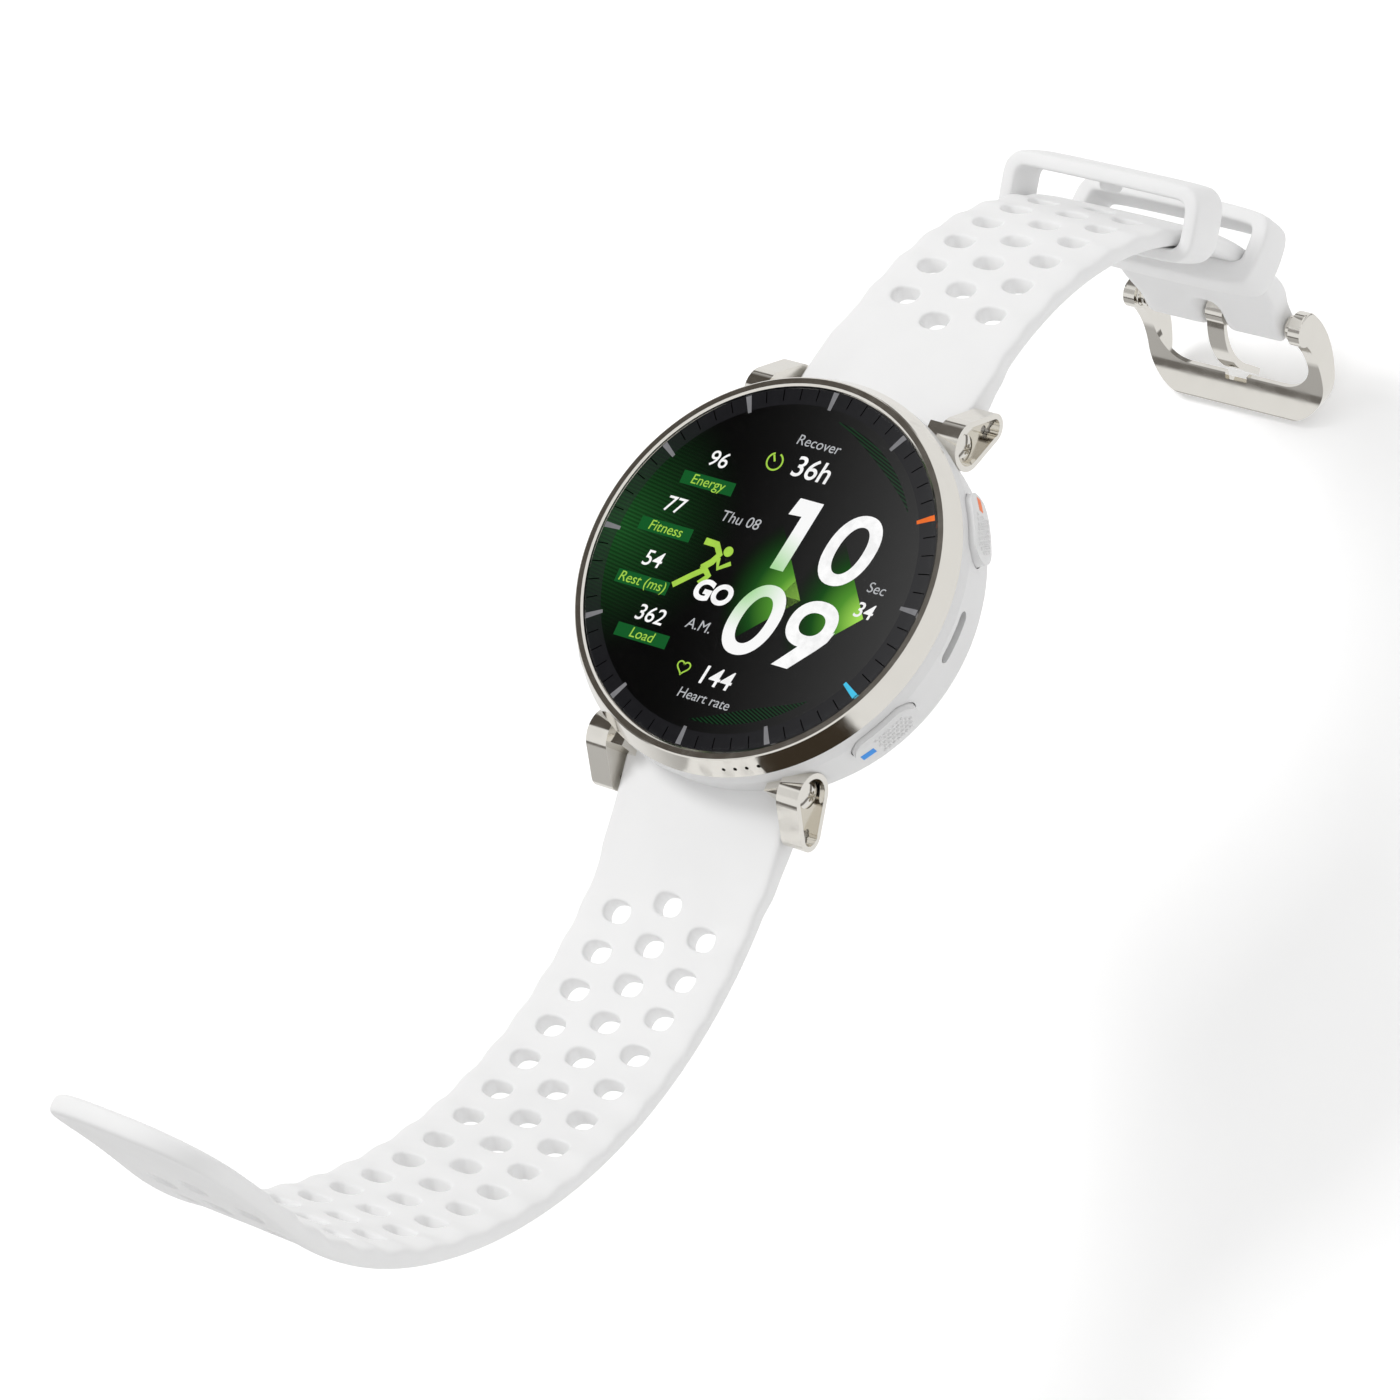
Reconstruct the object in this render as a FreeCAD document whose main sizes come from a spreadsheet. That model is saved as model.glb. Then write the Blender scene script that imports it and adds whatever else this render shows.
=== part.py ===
import FreeCAD, Part
import math
import os
import Sketcher

# A round sports watch with a two-piece perforated silicone strap.
# +X points to 3 o'clock, +Y to 12 o'clock and +Z out of the dial.
# The origin is the centre of the case back's flat face. Lengths are millimetres, angles degrees.

doc = FreeCAD.newDocument("golf_gps_watch")
sheet = doc.addObject("Spreadsheet::Sheet", "Sizes")
parts = {}

SIZES = (
    # case, bezel and glass
    ("case_radius", 22.5), ("case_top", 9.1), ("case_crease", 7.6), ("case_foot_radius", 21.7),
    ("case_foot", 2.0), ("cavity_radius", 19.6), ("back_radius", 19.2), ("back_thickness", 1.5),
    ("back_flat_radius", 14.0), ("back_rise", 0.35), ("gasket", 0.3), ("ledge_radius", 18.0),
    ("bezel_outer", 22.4), ("bezel_top_radius", 21.3), ("bezel_top", 11.6), ("bezel_spigot", 20.5),
    ("bezel_bore", 19.5), ("glass_radius", 20.35), ("glass_top", 11.7), ("glass_bottom", 11.15),
    ("display_radius", 19.0), ("display_bottom", 9.5), ("frame_radius", 19.3), ("plate_bottom", 7.8),
    # inside the case
    ("board_bottom", 7.0), ("board_thickness", 0.6), ("board_radius", 18.3),
    ("battery_left", -12.0), ("battery_right", 8.0), ("battery_half", 9.0),
    ("battery_bottom", 2.3), ("battery_top", 6.3), ("sensor_radius", 6.55), ("sensor_step", 5.6),
    ("screw_ring", 17.2), ("screw_head", 1.0), ("screw_shank", 0.5),
    # buttons: the side caps at 2, 4, 8 and 10 o'clock
    ("button_angle", 31.0), ("button_height", 5.95), ("button_long", 8.0), ("button_tall", 4.0),
    ("button_outer", 23.2), ("button_inner", 22.0), ("button_pocket", 21.0), ("button_gap", 0.12),
    ("stem_radius", 0.7), ("stem_end", 18.2), ("stem_gap", 0.05), ("slot_long", 5.8), ("slot_tall", 1.5),
    # lugs: a tapered capsule seen from the side
    ("lug_inner", 11.15), ("lug_outer", 13.82), ("lug_top_reach", 20.14), ("lug_top_height", 5.18),
    ("lug_top_radius", 2.66), ("lug_end_reach", 23.46), ("lug_end_height", 2.54),
    ("lug_end_radius", 1.63), ("lug_rim", 0.6), ("lug_floor", 12.2),
    ("lug_screw_reach", 19.9), ("lug_screw_height", 4.9), ("lug_screw_head", 1.45),
    # spring bars
    ("bar_reach", 23.3), ("bar_height", 1.9), ("bar_radius", 0.75), ("bar_half", 10.4),
    ("tip_radius", 0.4), ("tip_gap", 0.05),
    # strap: both halves follow a chain of arcs that starts at the spring bar
    ("strap_thickness", 2.2), ("strap_half_width", 10.5), ("strap_root_half", 10.9),
    ("strap_knuckle", 1.8), ("strap_bore", 0.8), ("hole_long", 3.4), ("hole_wide", 2.5),
    ("column_offset", 5.58), ("tail_pitch", 4.8), ("tail_first_row", 13.8), ("tail_rows", 17),
    ("tail_heading", 16.4), ("buckle_heading", 9.83), ("buckle_lead", 3.8), ("buckle_radius", 41.6),
    ("buckle_turn", 95.1), ("buckle_pitch", 5.1), ("buckle_first_row", 13.15), ("buckle_rows", 6),
    ("tip_corner", 8.0), ("tail_radius_one", 46.4), ("tail_turn_one", 56.0),
    ("tail_radius_two", 50.7), ("tail_turn_two", 27.5), ("tail_radius_three", 40.9),
    ("tail_turn_three", 29.6), ("tail_radius_four", 146.3), ("tail_turn_four", -7.4),
    # keepers
    ("keeper_outer_half", 13.0), ("keeper_inner_half", 10.85), ("keeper_low", -2.9),
    ("keeper_floor", -1.4), ("keeper_ceiling", 4.0), ("keeper_high", 5.8), ("keeper_long", 5.6),
    ("fixed_keeper_low", -3.9), ("fixed_keeper_ceiling", 3.4), ("fixed_keeper_high", 5.4),
    ("free_keeper_place", 26.0), ("fixed_keeper_place", 6.3), ("fixed_keeper_long", 5.2),
    # buckle
    ("frame_half", 11.9), ("arm_thickness", 1.5), ("pin_radius", 0.6), ("frame_knuckle", 2.1),
    ("bar_slant", 56.1), ("bar_width", 4.0), ("bar_thickness", 1.7), ("frame_corner", 5.2),
    ("window_corner", 4.0), ("notch_half", 1.45), ("edge_rounding", 0.25), ("boss_radius", 1.45),
    ("eye_half", 9.3), ("pin_cover", 0.5),
    ("tongue_half", 1.15), ("tongue_thickness", 0.8), ("tongue_loop", 1.5), ("tongue_slot_half", 1.45),
)

BUTTONS = (("two", 1, 1), ("four", 1, -1), ("eight", -1, -1), ("ten", -1, 1))


class Size:
    """A number together with the sheet expression that it comes from."""

    def __init__(self, value, text):
        self.value = float(value)
        self.text = text

    def _with(self, other, sign, value):
        return Size(value, "(%s %s %s)" % (self.text, sign, size(other).text))

    def __add__(self, other):
        return self._with(other, "+", self.value + size(other).value)

    def __sub__(self, other):
        return self._with(other, "-", self.value - size(other).value)

    def __mul__(self, other):
        return self._with(other, "*", self.value * size(other).value)

    def __truediv__(self, other):
        return self._with(other, "/", self.value / size(other).value)

    def __neg__(self):
        return Size(-self.value, "(-1 * %s)" % self.text)


class Sheet:
    """The sheet's cells by name."""


def size(number):
    return number if isinstance(number, Size) else Size(number, repr(float(number)))


def fill_sheet():
    cells = Sheet()
    for row, (alias, number) in enumerate(SIZES, start=1):
        sheet.set("A%d" % row, alias)
        sheet.set("B%d" % row, str(number))
        sheet.setAlias("B%d" % row, alias)
        setattr(cells, alias, Size(number, "Sizes." + alias))
    doc.recompute()
    return cells


S = fill_sheet()


def vec(*numbers):
    return FreeCAD.Vector(*[size(n).value for n in numbers])


def bind(obj, prop, number):
    obj.setExpression(prop, size(number).text)


def move(obj, at, axis=(0, 0, 1), angle=0.0):
    """Place an object, with its position bound to the sheet."""
    turn = FreeCAD.Rotation(FreeCAD.Vector(*axis), size(angle).value)
    obj.Placement = FreeCAD.Placement(vec(*at), turn)
    for name, number in zip("xyz", at):
        bind(obj, "Placement.Base." + name, number)
    return obj


def keep(node, obj):
    """Name a finished sub-part and list it for writing."""
    obj.Label = node
    parts[node] = obj
    return obj


# ---- plain solids -------------------------------------------------------------------------------

def block(low, high):
    box = doc.addObject("Part::Box", "block")
    for prop, a, b in zip(("Length", "Width", "Height"), low, high):
        bind(box, prop, size(b) - a)
    return move(box, low)


def rod(radius, start, length, direction=(0, 0, 1)):
    """A cylinder from a start point along a direction."""
    cylinder = doc.addObject("Part::Cylinder", "rod")
    bind(cylinder, "Radius", radius)
    bind(cylinder, "Height", length)
    turn = FreeCAD.Rotation(FreeCAD.Vector(0, 0, 1), FreeCAD.Vector(*direction))
    cylinder.Placement = FreeCAD.Placement(vec(*start), turn)
    for name, number in zip("xyz", start):
        bind(cylinder, "Placement.Base." + name, number)
    return cylinder


def tube(outer, inner, start, length, direction=(0, 0, 1)):
    return cut(rod(outer, start, length, direction), [rod(inner, start, length, direction)])


def ball(radius, at):
    sphere = doc.addObject("Part::Sphere", "ball")
    bind(sphere, "Radius", radius)
    return move(sphere, at)


def fuse(pieces):
    if len(pieces) == 1:
        return pieces[0]
    joined = doc.addObject("Part::MultiFuse", "fuse")
    joined.Shapes = pieces
    return joined


def group(pieces):
    """Several separate solids in one sub-part."""
    compound = doc.addObject("Part::Compound", "group")
    compound.Links = pieces
    return compound


def cut(base, tools):
    result = doc.addObject("Part::Cut", "cut")
    result.Base = base
    result.Tool = fuse(tools)
    return result


def common(first, second):
    result = doc.addObject("Part::Common", "common")
    result.Base = first
    result.Tool = second
    return result


def mirrored(source, normal):
    copy = doc.addObject("Part::Mirroring", "mirrored")
    copy.Source = source
    copy.Normal = FreeCAD.Vector(*normal)
    return copy


# ---- sketched solids ----------------------------------------------------------------------------

def new_sketch(body, plane, offset=0.0):
    sketch = body.newObject("Sketcher::SketchObject", "section")
    origin = [f for f in body.Origin.OriginFeatures if f.Role == plane][0]
    sketch.AttachmentSupport = [(origin, "")]
    sketch.MapMode = "FlatFace"
    sketch.AttachmentOffset = FreeCAD.Placement(vec(0, 0, offset), FreeCAD.Rotation())
    bind(sketch, "AttachmentOffset.Base.z", offset)
    return sketch


def pin_point(sketch, geometry, end, x, y):
    """Hold one point of a sketch at bound distances from its origin."""
    for kind, axis, number in (("DistanceX", -2, size(x)), ("DistanceY", -1, size(y))):
        if number.value == 0:
            sketch.addConstraint(Sketcher.Constraint("PointOnObject", geometry, end, axis))
            continue
        index = sketch.addConstraint(Sketcher.Constraint(kind, -1, 1, geometry, end, number.value))
        sketch.setExpression("Constraints[%d]" % index, number.text)


def draw_outline(sketch, points):
    """A closed outline of straight lines through bound points."""
    count = len(points)
    for i, point in enumerate(points):
        sketch.addGeometry(Part.LineSegment(vec(*point, 0), vec(*points[(i + 1) % count], 0)))
    for i, point in enumerate(points):
        sketch.addConstraint(Sketcher.Constraint("Coincident", i, 2, (i + 1) % count, 1))
        pin_point(sketch, i, 1, *point)


def turned(points):
    """A solid of revolution about Z from (radius, height) points."""
    body = doc.addObject("PartDesign::Body", "turned")
    sketch = new_sketch(body, "XZ_Plane")
    draw_outline(sketch, points)
    spin = body.newObject("PartDesign::Revolution", "spin")
    spin.Profile = sketch
    spin.ReferenceAxis = (sketch, ["V_Axis"])
    spin.Angle = 360.0
    return body


def padded(plane, points, start, length):
    """A straight pad of an outline, from a start height along the plane's normal."""
    body = doc.addObject("PartDesign::Body", "padded")
    sketch = new_sketch(body, plane, start)
    draw_outline(sketch, points)
    pad = body.newObject("PartDesign::Pad", "pad")
    pad.Profile = sketch
    bind(pad, "Length", length)
    return body


def capsule(top, end, shrink, start, length):
    """A pad along X of the tangent outline round two circles (y, z, radius), pulled in by shrink."""
    body = doc.addObject("PartDesign::Body", "capsule")
    sketch = new_sketch(body, "YZ_Plane", start)
    (y1, z1, r1), (y2, z2, r2) = [(size(y), size(z), size(r) - shrink) for y, z, r in (top, end)]
    along = math.atan2(z2.value - z1.value, y2.value - y1.value)
    gap = math.hypot(y2.value - y1.value, z2.value - z1.value)
    open_angle = math.acos((r1.value - r2.value) / gap)
    touch = []
    for y, z, r in ((y1, z1, r1), (y2, z2, r2)):
        for side in (1, -1):
            a = along + side * open_angle
            touch.append(vec(y.value + r.value * math.cos(a), z.value + r.value * math.sin(a), 0))
    circle = Part.Circle(vec(y1, z1, 0), FreeCAD.Vector(0, 0, 1), r1.value)
    sketch.addGeometry(Part.ArcOfCircle(circle, along + open_angle, along - open_angle + 2 * math.pi))
    sketch.addGeometry(Part.LineSegment(touch[1], touch[3]))
    circle = Part.Circle(vec(y2, z2, 0), FreeCAD.Vector(0, 0, 1), r2.value)
    sketch.addGeometry(Part.ArcOfCircle(circle, along - open_angle, along + open_angle))
    sketch.addGeometry(Part.LineSegment(touch[2], touch[0]))
    for i in range(4):
        sketch.addConstraint(Sketcher.Constraint("Tangent", i, 2, (i + 1) % 4, 1))
    for arc, (y, z, r) in ((0, (y1, z1, r1)), (2, (y2, z2, r2))):
        pin_point(sketch, arc, 3, y, z)
        index = sketch.addConstraint(Sketcher.Constraint("Radius", arc, r.value))
        sketch.setExpression("Constraints[%d]" % index, r.text)
    pad = body.newObject("PartDesign::Pad", "pad")
    pad.Profile = sketch
    bind(pad, "Length", length)
    return body


# ---- case, bezel, glass and what is inside ------------------------------------------------------

def polar(radius, angle, height):
    a = math.radians(size(angle).value)
    return (size(radius) * math.cos(a), size(radius) * math.sin(a), size(height))


def back_screw_spots():
    return [polar(S.screw_ring, angle, 0) for angle in (45, 135, 225, 315)]


def lug_section(sy):
    return ((S.lug_top_reach * sy, S.lug_top_height, S.lug_top_radius),
            (S.lug_end_reach * sy, S.lug_end_height, S.lug_end_radius))


def lug_foot():
    """The inner heel of a lug, which sits in the case wall."""
    return block((9.3, 18.6, 3.6), (S.lug_inner + 0.01, 21.3, 7.2))


def button_prism(start, end, grow):
    """A pill-shaped prism along +X: the outline of a button cap and of its pocket."""
    half = S.button_tall / 2 + grow
    straight = (S.button_long - S.button_tall) / 2
    length = size(end) - start
    pieces = [block((start, -straight, S.button_height - half), (end, straight, S.button_height + half))]
    for side in (straight, -straight):
        pieces.append(rod(half, (start, side, S.button_height), length, (1, 0, 0)))
    return fuse(pieces)


def at_button(obj, sx, sy):
    angle = S.button_angle.value * sy if sx > 0 else 180 - S.button_angle.value * sy
    obj.Placement = FreeCAD.Placement(vec(0, 0, 0), FreeCAD.Rotation(FreeCAD.Vector(0, 0, 1), angle))
    return obj


def make_mid_case():
    shell = turned([
        (S.back_radius, S.back_rise), (S.back_radius + 0.5, 0.3), (S.case_foot_radius - 0.7, 0.8),
        (S.case_foot_radius, S.case_foot), (S.case_radius, S.case_crease),
        (S.bezel_outer - 0.1, S.case_top),
        (S.bezel_spigot, S.case_top), (S.bezel_spigot, S.case_top - 1), (S.cavity_radius, S.case_top - 1),
        (S.cavity_radius, 2.4), (S.ledge_radius, 2.4), (S.ledge_radius, S.back_thickness + S.gasket),
        (S.back_radius, S.back_thickness + S.gasket)])
    bosses = []
    tools = []
    for x, y, z in back_screw_spots():
        bosses.append(rod(1.4, (x, y, S.back_thickness + S.gasket), 3.2))
        tools.append(rod(S.screw_shank, (x, y, 1.0), 3.2))
    for sy in (1, -1):
        tools.append(rod(S.strap_knuckle + 0.35, (-S.lug_inner, S.bar_reach * sy, S.bar_height),
                         S.lug_inner * 2, (1, 0, 0)))
    seat = fuse([capsule(*lug_section(1), 0.0, S.lug_inner, 3.0), lug_foot()])
    hole = rod(S.screw_shank + 0.2, (8.6, S.lug_screw_reach, S.lug_screw_height), 4, (1, 0, 0))
    for piece in (seat, hole):
        across = mirrored(piece, (1, 0, 0))
        tools += [piece, across, mirrored(piece, (0, 1, 0)), mirrored(across, (0, 1, 0))]
    for name, sx, sy in BUTTONS:
        pocket = button_prism(S.button_pocket, 24, S.button_gap)
        bore = rod(S.stem_radius + S.stem_gap, (19, 0, S.button_height), 3, (1, 0, 0))
        tools.append(at_button(fuse([pocket, bore]), sx, sy))
    tools.append(speaker_slot())
    return keep("mid_case", cut(fuse([shell] + bosses), tools))


def speaker_slot():
    """The rounded sound slot at 3 o'clock."""
    half = S.slot_tall / 2
    straight = (S.slot_long - S.slot_tall) / 2
    low = S.button_height + 0.1
    pieces = [block((19, -straight, low - half), (24, straight, low + half))]
    for side in (straight, -straight):
        pieces.append(rod(half, (19, side, low), 5, (1, 0, 0)))
    return fuse(pieces)


def make_bezel():
    ring = turned([
        (S.glass_radius + 0.1, S.bezel_top - 0.15), (S.glass_radius + 0.35, S.bezel_top),
        (S.bezel_top_radius, S.bezel_top), (S.bezel_top_radius + 0.15, S.bezel_top - 0.12),
        (S.bezel_outer, S.case_top + 0.15), (S.bezel_outer - 0.1, S.case_top),
        (S.bezel_spigot, S.case_top), (S.bezel_spigot, S.case_top - 1), (S.bezel_bore, S.case_top - 1),
        (S.bezel_bore, S.glass_bottom - 0.2), (S.glass_radius + 0.1, S.glass_bottom - 0.2)])
    ports = []
    for angle in (-64, -67.5, -71, -74.5):
        x, y, z = polar(21.0, angle, 10.3)
        direction = (math.cos(math.radians(angle)), math.sin(math.radians(angle)), 0)
        ports.append(rod(0.2, (x, y, z), 2, direction))
    return keep("bezel", cut(ring, ports))


def make_glass():
    top = S.glass_top
    glass = turned([(0, S.glass_bottom), (S.glass_radius, S.glass_bottom), (S.glass_radius, top - 0.3),
                    (S.glass_radius - 0.3, top), (0, top)])
    keep("cover_glass", glass)
    seal = tube(S.glass_radius, S.bezel_bore, (0, 0, S.glass_bottom - 0.2), 0.2)
    keep("glass_seal", seal)
    thickness = S.glass_bottom - S.display_bottom
    keep("display_panel", rod(S.display_radius, (0, 0, S.display_bottom), thickness))


def make_inner_frame():
    bottom = S.plate_bottom
    plate = turned([(0, bottom), (S.frame_radius, bottom), (S.frame_radius, S.display_bottom),
                    (S.frame_radius - 1.1, S.display_bottom), (S.frame_radius - 1.1, bottom + 0.5),
                    (0, bottom + 0.5)])
    slot = block((-4.2, 13.8, 7), (4.2, 14.6, 9))
    keep("inner_frame", cut(plate, [slot]))
    ribbon = block((-4, 14.0, S.board_bottom + S.board_thickness), (4, 14.3, S.display_bottom))
    keep("display_ribbon", ribbon)
    keep("antenna_ring", tube(19.5, 18.6, (0, 0, S.board_bottom), 0.8))


def make_boards():
    low = S.board_bottom
    keep("main_board", rod(S.board_radius, (0, 0, low), S.board_thickness))
    chips = [block((-8, -6, low - 0.6), (-1, 2, low)), block((1, -4, low - 0.5), (6, 3, low)),
             block((-5, 4, low - 0.5), (2, 8, low)), block((-3, -13, low - 0.7), (2, -10, low))]
    keep("board_chips", group(chips))
    keep("microphone", block((4.2, -17, low - 1.2), (7.2, -14, low)))
    switches = []
    for name, sx, sy in BUTTONS:
        body = block((15.6, -1.5, 4.8), (17.2, 1.5, low))
        dome = rod(0.5, (17.2, 0, S.button_height), 0.4, (1, 0, 0))
        switches.append(at_button(fuse([body, dome]), sx, sy))
    keep("tactile_switches", group(switches))


def make_battery():
    low = S.battery_bottom
    cell = block((S.battery_left, -S.battery_half, low), (S.battery_right, S.battery_half, S.battery_top))
    keep("battery", cell)
    keep("vibration_motor", rod(4.0, (-2, 13.4, low), 2.7))
    keep("speaker", block((9.2, -5, 2.4), (17, 5, 6.8)))
    keep("speaker_mesh", block((18.9, -3.4, 5.0), (19.2, 3.4, 6.9)))


def make_case_back():
    plate = turned([(S.sensor_radius, 0), (S.back_flat_radius, 0), (S.back_radius, S.back_rise),
                    (S.back_radius, S.back_thickness), (S.sensor_step, S.back_thickness),
                    (S.sensor_step, 0.9), (S.sensor_radius, 0.9)])
    tools = []
    screws = []
    for x, y, z in back_screw_spots():
        tools.append(rod(S.screw_head + 0.1, (x, y, -1), 1.9))
        tools.append(rod(S.screw_shank + 0.05, (x, y, 0), 2))
        cross = [block((x - 0.7, y - 0.12, 0.2), (x + 0.7, y + 0.12, 0.5)),
                 block((x - 0.12, y - 0.7, 0.2), (x + 0.12, y + 0.7, 0.5))]
        head = cut(rod(S.screw_head, (x, y, 0.3), 0.6), cross)
        screws.append(fuse([head, rod(S.screw_shank, (x, y, 0.9), 3.1)]))
    contacts = []
    for x in (-1.6, 1.6):
        tools.append(rod(0.8, (x, -10.5, -1), 3))
        contacts.append(rod(0.8, (x, -10.5, 0), 2.0))
    keep("case_back", cut(plate, tools))
    keep("back_screws", group(screws))
    keep("charging_contacts", group(contacts))
    keep("back_gasket", tube(S.back_radius, S.ledge_radius + 0.05, (0, 0, S.back_thickness), S.gasket))
    keep("sensor_window", rod(S.sensor_radius, (0, 0, 0), 0.9))
    keep("sensor_board", rod(7.0, (0, 0, S.back_thickness), 0.5))
    leds = [block((x - 0.7, y - 0.7, 1.0), (x + 0.7, y + 0.7, S.back_thickness))
            for x, y in ((0, 0), (3.2, 0), (-3.2, 0), (0, 3.2), (0, -3.2))]
    keep("sensor_leds", group(leds))


# ---- buttons ------------------------------------------------------------------------------------

def make_buttons():
    shell = ((S.button_inner, 3), (S.button_outer - 0.25, 3), (S.button_outer, 4.6), (S.button_outer, 7.3),
             (S.button_outer - 0.25, 9), (S.button_inner, 9))
    for name, sx, sy in BUTTONS:
        cap = common(button_prism(19, 24, 0.0), turned(list(shell)))
        reach = S.button_inner - S.stem_end + 0.3
        stem = rod(S.stem_radius, (S.stem_end, 0, S.button_height), reach, (1, 0, 0))
        groove = tube(1.2, 0.45, (19.15, 0, S.button_height), 0.25, (1, 0, 0))
        inlays = []
        if sx > 0:
            # the inlay lies in a shallow pocket at the end of the cap nearest the strap
            inlay = common(block((22.9, sy * 2.7 - 0.8, 5.55), (24, sy * 2.7 + 0.8, 6.35)),
                           turned([(22.7, 3), (23.24, 3), (23.24, 9), (22.7, 9)]))
            inlays.append(inlay)
            keep("button_mark_" + name, at_button(inlay, sx, sy))
        body = cut(fuse([cap, stem]), [groove])
        if inlays:
            pocket = block((22.9, sy * 2.7 - 0.8, 5.55), (24, sy * 2.7 + 0.8, 6.35))
            body = cut(body, [pocket])
        keep("button_" + name, at_button(body, sx, sy))
        clip = tube(1.0, 0.45, (19.15, 0, S.button_height), 0.25, (1, 0, 0))
        keep("button_clip_" + name, at_button(clip, sx, sy))


# ---- lugs and spring bars -----------------------------------------------------------------------

def make_lugs():
    top, end = lug_section(1)
    solid = capsule(top, end, 0.0, S.lug_inner, S.lug_outer - S.lug_inner)
    pocket = capsule(top, end, S.lug_rim, S.lug_floor, 3.0)
    bar_hole = rod(S.tip_radius + S.tip_gap, (10, S.bar_reach, S.bar_height), 4, (1, 0, 0))
    screw_hole = rod(S.screw_shank + 0.25, (9, S.lug_screw_reach, S.lug_screw_height), 5, (1, 0, 0))
    # the heel stops at the inside of the case wall and clear of the strap
    lug = cut(fuse([solid, lug_foot()]), [pocket, bar_hole, screw_hole])
    screw = lug_screw()
    across = mirrored(lug, (1, 0, 0))
    for node, piece in (("lug_upper_right", lug), ("lug_upper_left", across),
                        ("lug_lower_right", mirrored(lug, (0, 1, 0))),
                        ("lug_lower_left", mirrored(across, (0, 1, 0)))):
        keep(node, piece)
    screw_across = mirrored(screw, (1, 0, 0))
    keep("lug_screws", group([screw, screw_across, mirrored(screw, (0, 1, 0)),
                              mirrored(screw_across, (0, 1, 0))]))


def lug_screw():
    """A domed screw with a six-lobe recess, its head on the floor of a lug's pocket."""
    y, z = S.lug_screw_reach, S.lug_screw_height
    head = rod(S.lug_screw_head, (S.lug_floor, y, z), 1.6, (1, 0, 0))
    dome = ball(2.6, (S.lug_floor - 1.35, y, z))
    shank = rod(S.screw_shank + 0.15, (8.6, y, z), S.lug_floor - 8.6, (1, 0, 0))
    recess = [rod(0.28, (12.9, y, z), 2, (1, 0, 0))]
    for step in range(6):
        a = math.radians(60 * step)
        recess.append(rod(0.19, (12.9, y + 0.42 * math.cos(a), z + 0.42 * math.sin(a)), 2, (1, 0, 0)))
    return fuse([cut(common(head, dome), recess), shank])


def make_spring_bars():
    for half, sy in (("buckle", 1), ("tail", -1)):
        y, z = S.bar_reach * sy, S.bar_height
        barrel = tube(S.bar_radius, S.tip_radius + 0.06, (-S.bar_half, y, z), S.bar_half * 2, (1, 0, 0))
        slot = block((5.2, y - 0.5, z - 2), (8.9, y + 0.5, z))
        fixed_tip = rod(S.tip_radius + 0.06, (-S.bar_half, y, z), 3, (1, 0, 0))
        nose = rod(S.tip_radius, (-12.1, y, z), size(12.1) - S.bar_half, (1, 0, 0))
        keep("spring_bar_" + half, fuse([cut(barrel, [slot]), fixed_tip, nose]))
        plunger = rod(S.tip_radius, (6.6, y, z), 5.5, (1, 0, 0))
        lever = rod(0.4, (8.1, y, z), 2.5, (0, 0, -1))
        knob = rod(0.65, (8.1, y, z - 1.9), 0.6, (0, 0, -1))
        keep("release_pin_" + half, fuse([plunger, lever, knob]))
        spring = tube(S.tip_radius, 0.2, (-7.2, y, z), 12.2, (1, 0, 0))
        keep("release_spring_" + half, spring)


# ---- strap --------------------------------------------------------------------------------------

def strap_route(side, heading, arcs):
    """A strap half's centreline in the YZ plane: (start point, heading, radius, turn) per stretch.

    A stretch with no radius is straight and its turn is a length. Angles are radians; a positive
    turn bends to the left of the direction of travel.
    """
    y, z = S.bar_reach.value * side, S.bar_height.value
    stretches = []
    for radius, turn in arcs:
        stretches.append((y, z, heading, radius, turn))
        y, z, heading = along_stretch(stretches[-1], 1.0, 0.0)
    return stretches


def along_stretch(stretch, share, offset):
    """The point a share of the way along a stretch, offset to its left, and the heading there."""
    y, z, heading, radius, turn = stretch
    if radius is None:
        ahead = turn * share
        return (y + ahead * math.cos(heading) - offset * math.sin(heading),
                z + ahead * math.sin(heading) + offset * math.cos(heading), heading)
    bend = math.copysign(1.0, turn)
    cy = y - bend * radius * math.sin(heading)
    cz = z + bend * radius * math.cos(heading)
    now = heading + turn * share
    reach = bend * radius - offset
    return (cy + reach * math.sin(now), cz - reach * math.cos(now), now)


def at_length(route, length):
    """The stretch and share reached after a length of centreline."""
    for stretch in route:
        span = stretch[4] if stretch[3] is None else stretch[3] * abs(stretch[4])
        if length <= span:
            return stretch, length / span
        length -= span
    return route[-1], 1.0


def route_edges(route, offset):
    edges = []
    for stretch in route:
        ends = [along_stretch(stretch, share, offset) for share in (0.0, 0.5, 1.0)]
        first, middle, last = [FreeCAD.Vector(0, y, z) for y, z, heading in ends]
        if stretch[3] is None:
            edges.append(Part.LineSegment(first, last).toShape())
        else:
            edges.append(Part.Arc(first, middle, last).toShape())
    return edges


def band(route, thickness, half_width):
    """A strip of even thickness along a route, as wide as twice half_width."""
    left = route_edges(route, thickness / 2)
    right = route_edges(route, -thickness / 2)
    a = left[0].firstVertex().Point
    b = right[0].firstVertex().Point
    c = left[-1].lastVertex().Point
    d = right[-1].lastVertex().Point
    ends = [Part.LineSegment(a, b).toShape(), Part.LineSegment(c, d).toShape()]
    face = Part.Face(Part.Wire(Part.__sortEdges__(left + right + ends)))
    face.translate(FreeCAD.Vector(-half_width, 0, 0))
    return face.extrude(FreeCAD.Vector(2 * half_width, 0, 0))


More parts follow.
